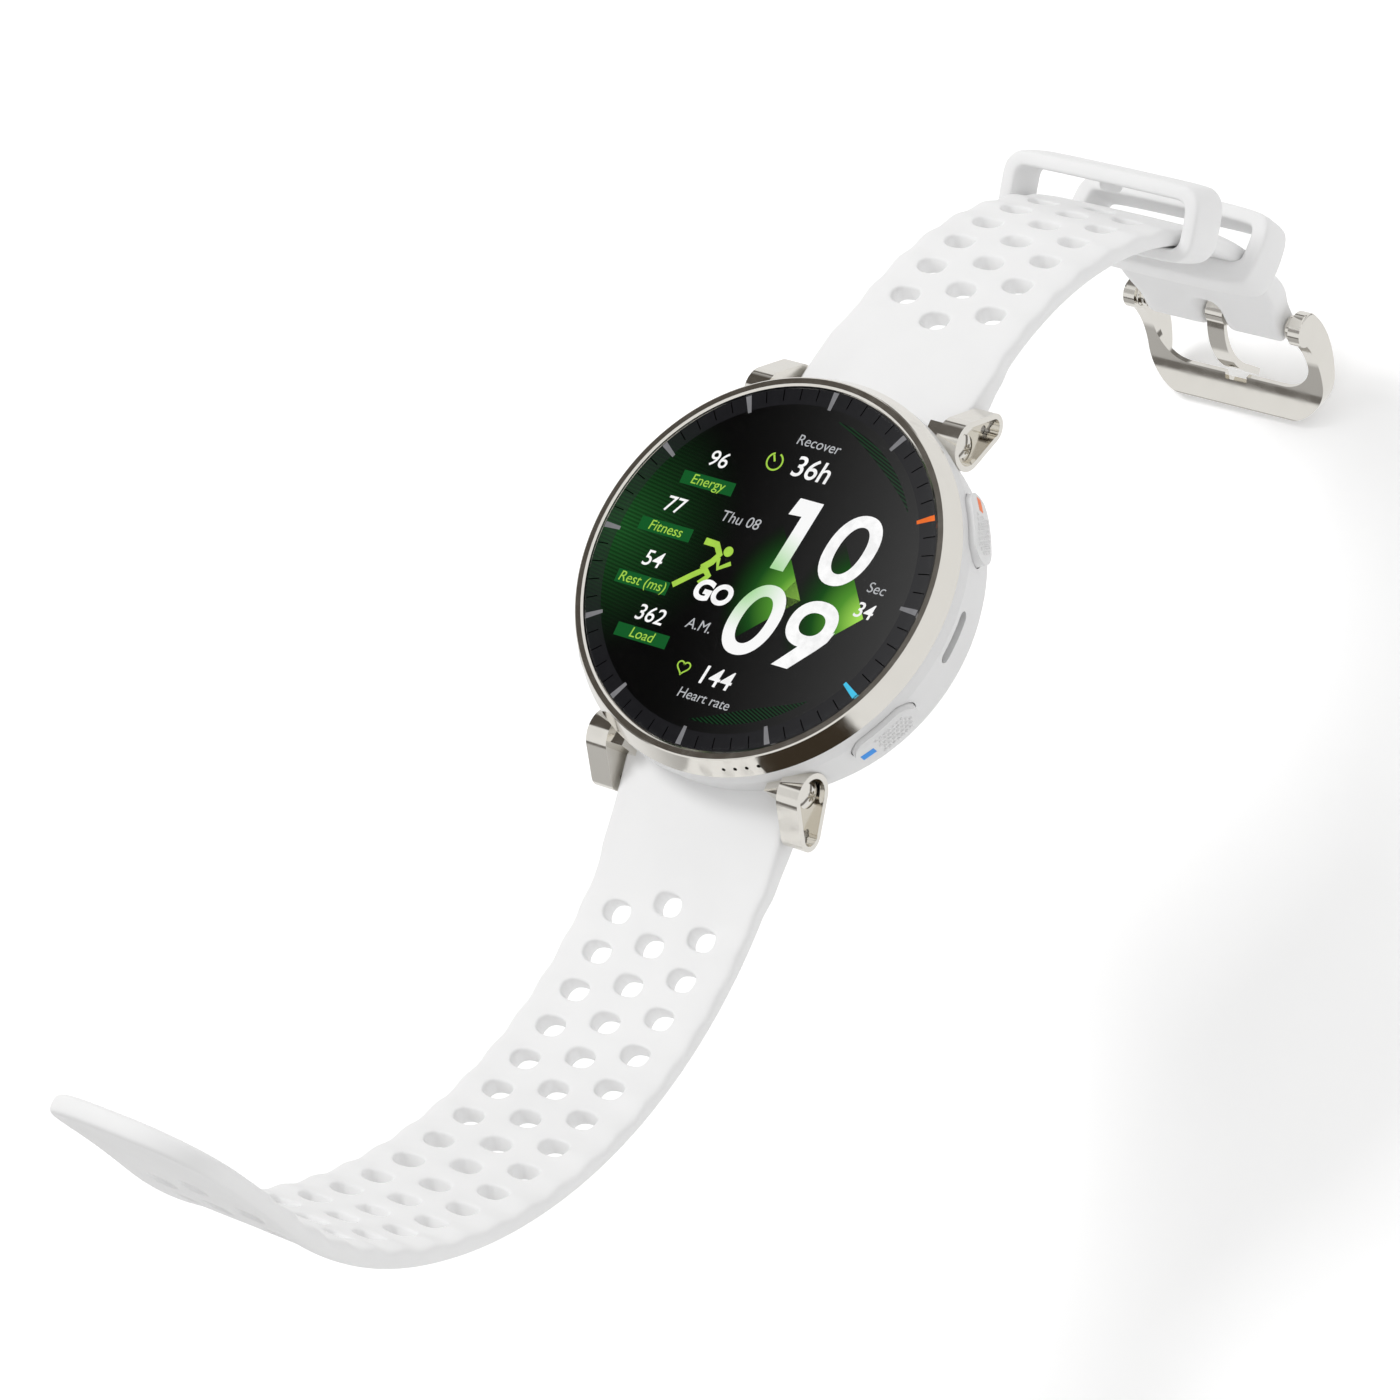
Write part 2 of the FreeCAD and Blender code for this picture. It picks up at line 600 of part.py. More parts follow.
def hole_prism(stretch, share, x):
    """One obround strap hole, cut square to the strap."""
    y, z, heading = along_stretch(stretch, share, 0.0)
    radius = S.hole_wide.value / 2
    straight = S.hole_long.value / 2 - radius
    corners = [FreeCAD.Vector(sx * straight, sy * radius, 0)
               for sx, sy in ((-1, -1), (1, -1), (1, 1), (-1, 1))]
    edges = [
        Part.LineSegment(corners[0], corners[1]).toShape(),
        Part.Arc(corners[1], FreeCAD.Vector(straight + radius, 0, 0), corners[2]).toShape(),
        Part.LineSegment(corners[2], corners[3]).toShape(),
        Part.Arc(corners[3], FreeCAD.Vector(-straight - radius, 0, 0), corners[0]).toShape()]
    prism = Part.Face(Part.Wire(edges)).extrude(FreeCAD.Vector(0, 0, 6))
    prism.translate(FreeCAD.Vector(0, 0, -3))
    turn = FreeCAD.Rotation(FreeCAD.Vector(1, 0, 0), math.degrees(heading))
    prism.Placement = FreeCAD.Placement(FreeCAD.Vector(x, y, z), turn).multiply(prism.Placement)
    return prism


def strap_holes(route, first, pitch, rows):
    """Two outer columns of holes, and a middle column half a pitch ahead of them."""
    holes = []
    for row in range(rows):
        for x in (-S.column_offset.value, S.column_offset.value):
            holes.append(hole_prism(*at_length(route, first + row * pitch), x))
    for row in range(rows + 1):
        holes.append(hole_prism(*at_length(route, first + (row - 0.5) * pitch), 0.0))
    return holes


def cross_rod(radius, y, z, half_width):
    start = FreeCAD.Vector(-half_width, y, z)
    return Part.makeCylinder(radius, 2 * half_width, start, FreeCAD.Vector(1, 0, 0))


def cross_box(low, high):
    span = [b - a for a, b in zip(low, high)]
    return Part.makeBox(*span, FreeCAD.Vector(*low))


def strap_half(node, route, side, holes, extra_solids, extra_cuts):
    """A strap half with its spring bar eye, its holes and the slot for the release lever."""
    y, z = S.bar_reach.value * side, S.bar_height.value
    root = S.strap_root_half.value
    solid = band(route, S.strap_thickness.value, S.strap_half_width.value)
    solid = solid.fuse([cross_rod(S.strap_knuckle.value, y, z, root)] + extra_solids)
    lever = cross_box((5.0, y - 0.9, z - 3), (9.0, y + 0.9, z))
    solid = solid.cut(holes + [cross_rod(S.strap_bore.value, y, z, 15), lever] + extra_cuts)
    feature = doc.addObject("Part::Feature", node)
    feature.Shape = solid.removeSplitter()
    feature.Placement = FreeCAD.Placement()
    return keep(node, feature)


def tail_route():
    arcs = []
    for word in ("one", "two", "three", "four"):
        radius = getattr(S, "tail_radius_" + word).value
        turn = getattr(S, "tail_turn_" + word).value
        arcs.append((radius, -math.radians(turn)))
    return strap_route(-1, math.radians(180 + S.tail_heading.value), arcs)


def buckle_route():
    arcs = [(None, S.buckle_lead.value), (S.buckle_radius.value, -math.radians(S.buckle_turn.value))]
    return strap_route(1, -math.radians(S.buckle_heading.value), arcs)


def buckle_centre():
    """The centre of the arc that the buckle half of the strap follows."""
    y, z, heading, radius, turn = buckle_route()[-1]
    return y + radius * math.sin(heading), z - radius * math.cos(heading)


def pin_spot():
    """The buckle pin's axis, at the end of the strap."""
    y, z, heading = along_stretch(buckle_route()[-1], 1.0, 0.0)
    return y, z


def make_tail_strap():
    route = tail_route()
    y, z, heading = along_stretch(route[-1], 1.0, 0.0)
    corner = S.tip_corner.value
    half = S.strap_half_width.value
    corners = []
    for side in (-1, 1):
        square = cross_box((side * half - corner, -corner, -corner), (side * half + corner, corner, 2))
        axis_start = FreeCAD.Vector(side * (half - corner), -20, -corner)
        rounding = Part.makeCylinder(corner, 40, axis_start, FreeCAD.Vector(0, 1, 0))
        middle = cross_box((corner - half, -20, -20), (half - corner, 20, 20))
        square = square.cut([rounding, middle])
        turn = FreeCAD.Rotation(FreeCAD.Vector(1, 0, 0), math.degrees(heading) - 90)
        tip = FreeCAD.Placement(FreeCAD.Vector(0, y, z), turn)
        square.Placement = tip.multiply(square.Placement)
        corners.append(square)
    holes = strap_holes(route, S.tail_first_row.value, S.tail_pitch.value, int(S.tail_rows.value))
    return strap_half("strap_tail_side", route, -1, holes, [], corners)


def make_buckle_strap():
    route = buckle_route()
    y, z = pin_spot()
    holes = strap_holes(route, S.buckle_first_row.value, S.buckle_pitch.value, int(S.buckle_rows.value))
    half = S.eye_half.value
    end = [cross_rod(S.strap_knuckle.value, y, z, half)]
    slot = S.tongue_slot_half.value
    cuts = [cross_rod(S.pin_radius.value + 0.05, y, z, 15),
            cross_box((-slot, y - 4, z - 4), (slot, y + 4, z + 2.6))]
    for side in (-1, 1):
        wide = sorted((side * half, side * 12))
        cuts.append(cross_box((wide[0], y - 5, z - 3), (wide[1], y + 5, z + 2.4)))
    return strap_half("strap_buckle_side", route, 1, holes, end, cuts)


# ---- keepers: local Z is across the strap and local Y along it ----------------------------------

def keeper_place(obj, place):
    """Turn a loop from its local frame to its place on the strap's arc."""
    cy, cz = buckle_centre()
    a = math.radians(place.value)
    radius = S.buckle_radius.value
    turn = FreeCAD.Rotation(FreeCAD.Vector(1, 0, 0), place.value - 90)
    at = FreeCAD.Vector(0, cy + radius * math.cos(a), cz + radius * math.sin(a))
    obj.Placement = FreeCAD.Placement(at, turn)
    return obj


def bar_round_corners(half, low, high, corner, long_half):
    """A bar along Y with four rounded long edges."""
    inner = half - corner
    pieces = [block((-inner, -long_half, low), (inner, long_half, high)),
              block((-half, -long_half, low + corner), (half, long_half, high - corner))]
    for x in (-inner, inner):
        for z in (low + corner, high - corner):
            pieces.append(rod(corner, (x, -long_half, z), long_half * 2, (0, 1, 0)))
    return fuse(pieces)


def make_keepers():
    half = S.keeper_long / 2
    loop = bar_round_corners(S.keeper_outer_half, S.keeper_low, S.keeper_high, 2.2, half)
    hollow = bar_round_corners(S.keeper_inner_half, S.keeper_floor, S.keeper_ceiling, 0.9, half + 1)
    peg = rod(1.2, (0, 0.4, S.keeper_ceiling - 0.9), 1.0)
    keep("free_keeper", keeper_place(fuse([cut(loop, [hollow]), peg]), S.free_keeper_place))

    half = S.fixed_keeper_long / 2
    wide, low, high = S.keeper_outer_half, S.fixed_keeper_low, S.fixed_keeper_high
    outline = [(-wide, low + 1.6), (-wide + 1.6, low), (wide - 1.6, low), (wide, low + 1.6), (wide, high - 2),
               (wide - 2, high), (-wide + 2, high), (-wide, high - 2)]
    # the XZ plane's normal is -Y, so the pad starts at +half and runs back
    chunky = padded("XZ_Plane", outline, -half, S.fixed_keeper_long)
    snug = S.strap_half_width
    hollow = block((-snug, -4, -S.strap_thickness / 2 - 0.1), (snug, 4, S.fixed_keeper_ceiling))
    keep("fixed_keeper", keeper_place(cut(chunky, [hollow]), S.fixed_keeper_place))


# ---- buckle: local origin on the pin ------------------------------------------------------------

def arc_through(a, b, c):
    return Part.Arc(*[FreeCAD.Vector(0, *p) for p in (a, b, c)]).toShape()


def bowed_profile():
    """The buckle frame seen from the side: a hook that tapers from the pin down to the front bar."""
    knuckle = S.frame_knuckle.value
    outer_end = (-5.9, -12.2)
    inner_end = (-7.2, -11.3)
    back = (-1.5, -0.9)
    top = (-0.5, math.sqrt(knuckle ** 2 - 0.25))
    edges = [
        arc_through((knuckle, 0.0), (0.3, -7.3), outer_end),
        Part.LineSegment(FreeCAD.Vector(0, *outer_end), FreeCAD.Vector(0, *inner_end)).toShape(),
        arc_through(inner_end, (-3.0, -6.9), back),
        arc_through(back, (-math.sqrt(knuckle ** 2 - 0.16), 0.4), top),
        arc_through(top, (knuckle * 0.6, knuckle * 0.8), (knuckle, 0.0))]
    return Part.Face(Part.Wire(edges))


def rounded_frame_prism(half, low, high, corner):
    """A prism square to the front bar, with rounded lower corners."""
    box = cross_box((-half, low, -12), (half, high, 12))
    rounded = [e for e in box.Edges if e.BoundBox.ZLength > 20 and abs(e.BoundBox.YMin - low) < 0.01]
    return slanted(box.makeFillet(corner, rounded))


def slanted(shape):
    """Bring a shape from the front bar's own frame, whose Z is square to the bar, to the buckle's."""
    turn = FreeCAD.Rotation(FreeCAD.Vector(1, 0, 0), S.bar_slant.value)
    shape.Placement = FreeCAD.Placement(FreeCAD.Vector(0, -5.0, -8.0), turn).multiply(shape.Placement)
    return shape


def make_buckle_frame():
    half = S.frame_half.value
    profile = bowed_profile()
    profile.translate(FreeCAD.Vector(-half, 0, 0))
    solid = profile.extrude(FreeCAD.Vector(2 * half, 0, 0))
    solid = solid.common(rounded_frame_prism(half, -S.bar_width.value, 16, S.frame_corner.value))
    opening = half - S.arm_thickness.value
    notch = S.notch_half.value
    solid = solid.cut([
        rounded_frame_prism(opening, 0.0, 18, S.window_corner.value),
        slanted(cross_box((-opening, -6, -12), (opening, 20, -S.bar_thickness.value))),
        slanted(cross_box((-notch, -0.8, -3), (notch, 1, -0.7)))])
    between = cross_rod(3, 0, 0, S.eye_half.value + 0.1)
    collars = cross_rod(S.boss_radius.value, 0, 0, opening + 0.3).cut(between)
    solid = solid.fuse(collars).cut(cross_rod(S.pin_radius.value, 0, 0, half - S.pin_cover.value))
    y, z = pin_spot()
    frame = doc.addObject("Part::Feature", "buckle_frame")
    edges = [e for e in solid.Edges if e.Length > 6]
    frame.Shape = rounded(solid, edges, S.edge_rounding.value)
    frame.Placement = FreeCAD.Placement(FreeCAD.Vector(0, y, z), FreeCAD.Rotation())
    return keep("buckle_frame", frame)


def rounded(solid, edges, radius):
    """Round each edge that takes the radius, one after the other."""
    result = solid
    for edge in edges:
        match = [e for e in result.Edges if abs(e.Length - edge.Length) < 1e-6
                 and e.CenterOfMass.distanceToPoint(edge.CenterOfMass) < 1e-6]
        if not match:
            continue
        try:
            trial = result.makeFillet(radius, match)
        except Part.OCCError:
            continue
        if trial.isValid() and len(trial.Solids) == 1:
            result = trial
    return result


def make_buckle_pin():
    y, z = pin_spot()
    reach = S.frame_half - S.pin_cover
    keep("buckle_pin", rod(S.pin_radius, (-reach, y, z), reach * 2, (1, 0, 0)))


def make_tongue():
    """A bent strip that wraps the pin and rests on the front bar."""
    thickness = S.tongue_thickness.value
    loop = S.tongue_loop.value
    half = S.tongue_half.value
    outer = [(-loop, 0.0), (-3.9, -5.6), (-3.3, -9.1), (-2.6, -11.4)]
    inner = [(-loop + thickness, 0.0), (-3.9 + thickness, -5.5), (-3.3 + thickness, -8.8), (-1.85, -11.1)]
    edges = [
        arc_through(outer[0], outer[1], outer[2]),
        Part.LineSegment(FreeCAD.Vector(0, *outer[2]), FreeCAD.Vector(0, *outer[3])).toShape(),
        Part.LineSegment(FreeCAD.Vector(0, *outer[3]), FreeCAD.Vector(0, *inner[3])).toShape(),
        Part.LineSegment(FreeCAD.Vector(0, *inner[3]), FreeCAD.Vector(0, *inner[2])).toShape(),
        arc_through(inner[2], inner[1], inner[0]),
        Part.LineSegment(FreeCAD.Vector(0, *inner[0]), FreeCAD.Vector(0, *outer[0])).toShape()]
    face = Part.Face(Part.Wire(edges))
    face.translate(FreeCAD.Vector(-half, 0, 0))
    arm = face.extrude(FreeCAD.Vector(2 * half, 0, 0))
    solid = arm.fuse(cross_rod(loop, 0, 0, half)).cut(cross_rod(S.pin_radius.value + 0.05, 0, 0, 5))
    y, z = pin_spot()
    tongue = doc.addObject("Part::Feature", "buckle_tongue")
    tongue.Shape = solid.removeSplitter()
    tongue.Placement = FreeCAD.Placement(FreeCAD.Vector(0, y, z), FreeCAD.Rotation())
    keep("buckle_tongue", tongue)


# ---- build, check and write ---------------------------------------------------------------------

def check_and_write():
    doc.recompute()
    faults = [obj.Label for obj in doc.Objects if "Invalid" in obj.State or "Error" in obj.State]
    for node, obj in parts.items():
        shape = obj.Shape
        if shape.isNull() or not shape.isValid() or not shape.Solids:
            faults.append(node)
    if faults:
        raise SystemExit("faulty objects: " + ", ".join(faults))
    os.makedirs("parts", exist_ok=True)
    for node, obj in parts.items():
        obj.Shape.exportStep("parts/%s.step" % node)
    print("sub-parts written:", len(parts))


for make in (make_mid_case, make_bezel, make_glass, make_inner_frame, make_boards, make_battery,
             make_case_back, make_buttons, make_lugs, make_spring_bars, make_tail_strap,
             make_buckle_strap, make_keepers, make_buckle_frame, make_buckle_pin, make_tongue):
    make()
check_and_write()
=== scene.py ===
"""The looks of a round sports watch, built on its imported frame.

+X points to 3 o'clock, +Y to 12 o'clock and +Z out of the dial. Sizes are millimetres until a mesh is made.
"""

import math

import bmesh
import bpy
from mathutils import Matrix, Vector


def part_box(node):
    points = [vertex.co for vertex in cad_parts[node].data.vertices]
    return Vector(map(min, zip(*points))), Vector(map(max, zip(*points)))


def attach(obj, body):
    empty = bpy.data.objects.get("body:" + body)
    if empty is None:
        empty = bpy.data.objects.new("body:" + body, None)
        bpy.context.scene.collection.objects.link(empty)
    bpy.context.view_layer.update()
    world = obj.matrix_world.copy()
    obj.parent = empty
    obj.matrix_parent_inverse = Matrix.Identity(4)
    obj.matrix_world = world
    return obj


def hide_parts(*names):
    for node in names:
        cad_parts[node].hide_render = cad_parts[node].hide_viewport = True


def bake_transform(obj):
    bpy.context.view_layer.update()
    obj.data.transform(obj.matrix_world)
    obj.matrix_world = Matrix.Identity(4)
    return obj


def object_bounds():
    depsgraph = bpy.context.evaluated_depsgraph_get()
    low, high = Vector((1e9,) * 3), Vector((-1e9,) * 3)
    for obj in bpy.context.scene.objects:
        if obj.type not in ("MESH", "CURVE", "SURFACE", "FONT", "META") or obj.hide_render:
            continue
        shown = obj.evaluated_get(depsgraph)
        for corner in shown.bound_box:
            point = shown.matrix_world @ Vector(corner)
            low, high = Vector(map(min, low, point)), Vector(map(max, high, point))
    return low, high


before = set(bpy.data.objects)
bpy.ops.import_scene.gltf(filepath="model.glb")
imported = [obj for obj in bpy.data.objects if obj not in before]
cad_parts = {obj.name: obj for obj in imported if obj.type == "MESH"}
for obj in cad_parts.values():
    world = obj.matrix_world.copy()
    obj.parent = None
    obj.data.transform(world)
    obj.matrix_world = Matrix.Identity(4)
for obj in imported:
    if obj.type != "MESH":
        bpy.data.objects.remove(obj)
cad_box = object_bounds()

MM = 0.001


def node_box(node):
    """A CAD node's lowest and highest corner, in millimetres."""
    low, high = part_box(node)
    return low / MM, high / MM


# ---- materials ----

class Finish:
    """A material with one Principled shader, and helpers that add detail to it."""

    def __init__(self, name, colour, roughness, metallic=0.0, **sockets):
        self.name = name
        self.material = bpy.data.materials.new(name)
        self.material.use_nodes = True
        self.nodes = self.material.node_tree.nodes
        self.links = self.material.node_tree.links
        self.shader = self.nodes["Principled BSDF"]
        self.set("Base Color", (*colour, 1.0))
        self.set("Roughness", roughness)
        self.set("Metallic", metallic)
        for socket, value in sockets.items():
            self.set(socket.replace("_", " "), value)
        self.place = self.nodes.new("ShaderNodeTexCoord").outputs["Object"]

    def set(self, socket, value):
        self.shader.inputs[socket].default_value = value

    def noise(self, size, detail=3.0):
        """Noise whose grains are about size millimetres across."""
        mapping = self.nodes.new("ShaderNodeMapping")
        mapping.inputs["Scale"].default_value = [1.0 / (size * MM)] * 3
        self.links.new(self.place, mapping.inputs["Vector"])
        noise = self.nodes.new("ShaderNodeTexNoise")
        noise.inputs["Scale"].default_value = 1.0
        noise.inputs["Detail"].default_value = detail
        self.links.new(mapping.outputs["Vector"], noise.inputs["Vector"])
        return noise.outputs["Fac"]

    def ramp(self, value, low, high, start=0.35, end=0.65):
        """Map a value that runs from start to end onto low to high; the defaults suit a noise value."""
        node = self.nodes.new("ShaderNodeMapRange")
        node.inputs["From Min"].default_value = start
        node.inputs["From Max"].default_value = end
        node.inputs["To Min"].default_value = low
        node.inputs["To Max"].default_value = high
        self.links.new(value, node.inputs["Value"])
        return node.outputs["Result"]

    def vary_roughness(self, size, low, high):
        self.links.new(self.ramp(self.noise(size, 4.0), low, high), self.shader.inputs["Roughness"])
        return self

    def vary_colour(self, size, first, second):
        mix = self.nodes.new("ShaderNodeMix")
        mix.data_type = "RGBA"
        mix.inputs["A"].default_value = (*first, 1.0)
        mix.inputs["B"].default_value = (*second, 1.0)
        self.links.new(self.ramp(self.noise(size), 0.0, 1.0), mix.inputs["Factor"])
        self.links.new(mix.outputs["Result"], self.shader.inputs["Base Color"])
        return self

    def add_bump(self, size, height):
        """A fine relief of a height in millimetres."""
        bump = self.nodes.new("ShaderNodeBump")
        bump.inputs["Strength"].default_value = 1.0
        bump.inputs["Distance"].default_value = height * MM
        self.links.new(self.noise(size, 2.0), bump.inputs["Height"])
        self.links.new(bump.outputs["Normal"], self.shader.inputs["Normal"])
        return self

    def glow(self, colour, strength):
        self.set("Emission Color", (*colour, 1.0))
        self.set("Emission Strength", strength)
        return self


def math_node(tree, operation, a, b=0.0):
    """A value worked out from two numbers or sockets, in a finish's or the room's nodes."""
    node = tree.nodes.new("ShaderNodeMath")
    node.operation = operation
    for socket, value in zip(node.inputs, (a, b)):
        if isinstance(value, (int, float)):
            socket.default_value = value
        else:
            tree.links.new(value, socket)
    return node.outputs["Value"]


def make_finishes():
    made = (
        Finish("silicone_white", (0.86, 0.86, 0.86), 0.55, Specular_IOR_Level=0.3)
        .vary_roughness(2.5, 0.5, 0.64).vary_colour(9.0, (0.868, 0.868, 0.868), (0.85, 0.85, 0.85))
        .add_bump(0.2, 0.002),
        Finish("case_white", (0.77, 0.77, 0.77), 0.34, Specular_IOR_Level=0.4)
        .vary_roughness(2.4, 0.3, 0.38).vary_colour(8.0, (0.776, 0.776, 0.776), (0.764, 0.764, 0.764)),
        Finish("polished_steel", (0.84, 0.815, 0.76), 0.1, metallic=1.0)
        .vary_roughness(1.4, 0.07, 0.13).vary_colour(6.0, (0.85, 0.825, 0.77), (0.83, 0.805, 0.75))
        .add_bump(1.2, 0.0002),
        Finish("glass", (1.0, 1.0, 1.0), 0.0, Transmission_Weight=1.0, IOR=1.13)
        .vary_roughness(6.0, 0.0, 0.004),
        Finish("display", (0.006, 0.006, 0.007), 0.35).vary_roughness(0.8, 0.3, 0.42),
        Finish("speaker_weave", (0.66, 0.66, 0.67), 0.4, metallic=0.3)
        .vary_roughness(0.2, 0.3, 0.5).add_bump(0.15, 0.02),
        Finish("dark_plastic", (0.03, 0.03, 0.032), 0.5).vary_roughness(0.5, 0.42, 0.6).add_bump(0.12, 0.006),
        Finish("circuit", (0.02, 0.12, 0.06), 0.4)
        .vary_colour(1.2, (0.015, 0.11, 0.05), (0.05, 0.17, 0.09)).vary_roughness(0.7, 0.3, 0.5),
        Finish("steel_dark", (0.42, 0.41, 0.40), 0.28, metallic=1.0)
        .vary_roughness(0.6, 0.2, 0.36).add_bump(0.3, 0.002),
        Finish("battery_foil", (0.62, 0.63, 0.66), 0.3, metallic=0.9)
        .vary_roughness(1.5, 0.22, 0.4).add_bump(1.8, 0.03),
        Finish("seal_rubber", (0.04, 0.04, 0.045), 0.7).vary_roughness(0.4, 0.6, 0.8).add_bump(0.1, 0.008),
        Finish("led_clear", (0.75, 0.9, 0.72), 0.15, Transmission_Weight=0.4).vary_roughness(0.4, 0.1, 0.25),
        Finish("sensor_black", (0.012, 0.012, 0.014), 0.08, Coat_Weight=0.6).vary_roughness(2.0, 0.05, 0.14),
        Finish("mark_orange", (1.0, 0.20, 0.03), 0.35).vary_roughness(0.5, 0.3, 0.45),
        Finish("mark_blue", (0.03, 0.30, 0.85), 0.35).vary_roughness(0.5, 0.3, 0.45),
    )
    return {finish.name: finish.material for finish in made}


FINISHES = make_finishes()

# the finish of each rigid CAD node; the straps and keepers are soft and get meshes of their own
NODE_FINISHES = {
    "case_white": ("mid_case", "button_two", "button_four", "button_eight", "button_ten"),
    "polished_steel": ("bezel", "lug_upper_right", "lug_upper_left", "lug_lower_right", "lug_lower_left",
                       "lug_screws", "buckle_frame", "buckle_tongue"),
    "glass": ("cover_glass",),
    "display": ("display_panel",),
    "dark_plastic": ("case_back", "inner_frame", "speaker", "microphone", "antenna_ring"),
    "circuit": ("main_board", "sensor_board", "display_ribbon"),
    "steel_dark": ("back_screws", "spring_bar_tail", "spring_bar_buckle", "release_pin_tail",
                   "release_pin_buckle", "release_spring_tail", "release_spring_buckle", "buckle_pin",
                   "button_clip_two", "button_clip_four", "button_clip_eight", "button_clip_ten",
                   "charging_contacts", "vibration_motor", "tactile_switches", "board_chips"),
    "speaker_weave": ("speaker_mesh",),
    "battery_foil": ("battery",),
    "seal_rubber": ("glass_seal", "back_gasket"),
    "led_clear": ("sensor_leds",),
    "sensor_black": ("sensor_window",),
    "mark_orange": ("button_mark_two",),
    "mark_blue": ("button_mark_four",),
}


def finish_nodes():
    for slot, nodes in NODE_FINISHES.items():
        for node in nodes:
            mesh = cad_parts[node].data
            mesh.materials.clear()
            mesh.materials.append(FINISHES[slot])


# ---- mesh building ------------------------------------------------------------------------------

class Patch:
    """Vertices made once per key, and the faces between them."""

    def __init__(self):
        self.points = []
        self.faces = []
        self.index = {}

    def add(self, key, point):
        if key not in self.index:
            self.index[key] = len(self.points)
            self.points.append(point)
        return self.index[key]

    def face(self, keys):
        self.faces.append([self.index[k] for k in keys])

    def strip(self, first, second):
        """Quads between two rows of keys of the same length."""
        for a, b, c, d in zip(first, first[1:], second[1:], second):
            self.face((a, b, c, d))

    def build(self, name, finish, subdivisions=2):
        mesh = bpy.data.meshes.new(name)
        mesh.from_pydata([[v * MM for v in p] for p in self.points], [], self.faces)
        mesh.materials.append(FINISHES[finish])
        obj = bpy.data.objects.new(name, mesh)
        bpy.context.scene.collection.objects.link(obj)
        turn_outwards(mesh)
        for polygon in mesh.polygons:
            polygon.use_smooth = True
        if subdivisions:
            modifier = obj.modifiers.new("smooth", "SUBSURF")
            modifier.levels = subdivisions
            modifier.render_levels = subdivisions
        return obj


def turn_outwards(mesh):
    work = bmesh.new()
    work.from_mesh(mesh)
    bmesh.ops.recalc_face_normals(work, faces=work.faces)
    work.to_mesh(mesh)
    work.free()


def smooth_step(t):
    t = min(1.0, max(0.0, t))
    return t * t * (3 - 2 * t)


def between(a, b, t):
    return a + (b - a) * t


# ---- strap ----

BAR_REACH, BAR_HEIGHT = 23.3, 1.9
COLUMN = 5.58
COLUMN_EDGE = COLUMN / 2
HOLE_LONG, HOLE_WIDE = 3.3, 2.45
HALF_THICKNESS = 1.1
HALF_WIDTH, ROOT_HALF_WIDTH = 10.5, 10.9
FLAT_INSET = 1.3
ROOT_RADIUS = 21.98
ROOT_TOP = 4.6
ROOT_STEPS = 8
TIP_CORNER = 8.0
TIP_TURNS = (12, 24, 36, 48, 60, 70, 80, 90)
PANEL_LENGTH = 36
TAIL_PITCH, TAIL_FIRST_ROW, TAIL_ROWS = 4.8, 13.8, 17
BUCKLE_PITCH, BUCKLE_FIRST_ROW, BUCKLE_ROWS = 5.1, 13.15, 6
BUCKLE_BEND = 41.6
EYE_LENGTH = 1.9
HOLE_POINTS = 16
HOLE_SQUARENESS = 0.86


class Route:
    """A strap half's centreline in the YZ plane: a straight lead and a chain of tangent arcs."""

    def __init__(self, side, heading, lead, arcs):
        self.side = side
        self.lean = abs(math.tan(heading))
        self.stretches = []
        y, z = BAR_REACH * side, BAR_HEIGHT
        if lead:
            self.stretches.append((lead, y, z, heading, None))
            y, z = y + lead * math.cos(heading), z + lead * math.sin(heading)
        for radius, turn in arcs:
            turn = math.radians(turn)
            span = radius * abs(turn)
            self.stretches.append((span, y, z, heading, turn / span))
            y, z, heading = self.along(self.stretches[-1], span)
        self.length = sum(stretch[0] for stretch in self.stretches)

    @staticmethod
    def along(stretch, ahead):
        y, z, heading, bend = stretch[1:]
        if bend is None:
            return y + ahead * math.cos(heading), z + ahead * math.sin(heading), heading
        now = heading + bend * ahead
        return (y + (math.sin(now) - math.sin(heading)) / bend,
                z - (math.cos(now) - math.cos(heading)) / bend, now)

    def at(self, s, x, h):
        """The point s along, x across and h out of the strap's middle layer, upright at the root."""
        s -= self.lean * h * smooth_step((3 - s) / 4)
        stretch, ahead = self.stretches[0], s
        if s < 0:
            stretch = (0, *stretch[1:4], None)
        else:
            for stretch in self.stretches:
                if ahead <= stretch[0]:
                    break
                ahead -= stretch[0]
            else:
                stretch = (0, *self.along(stretch, stretch[0]), None)
        y, z, heading = self.along(stretch, ahead)
        return (x, y - self.side * h * math.sin(heading), z + self.side * h * math.cos(heading))


TAIL = Route(-1, math.radians(180 + 16.4), 0, ((46.4, -56.0), (50.7, -27.5), (40.9, -29.6), (146.3, 7.4)))
BUCKLE = Route(1, math.radians(-9.83), 3.8, ((BUCKLE_BEND, -95.1),))


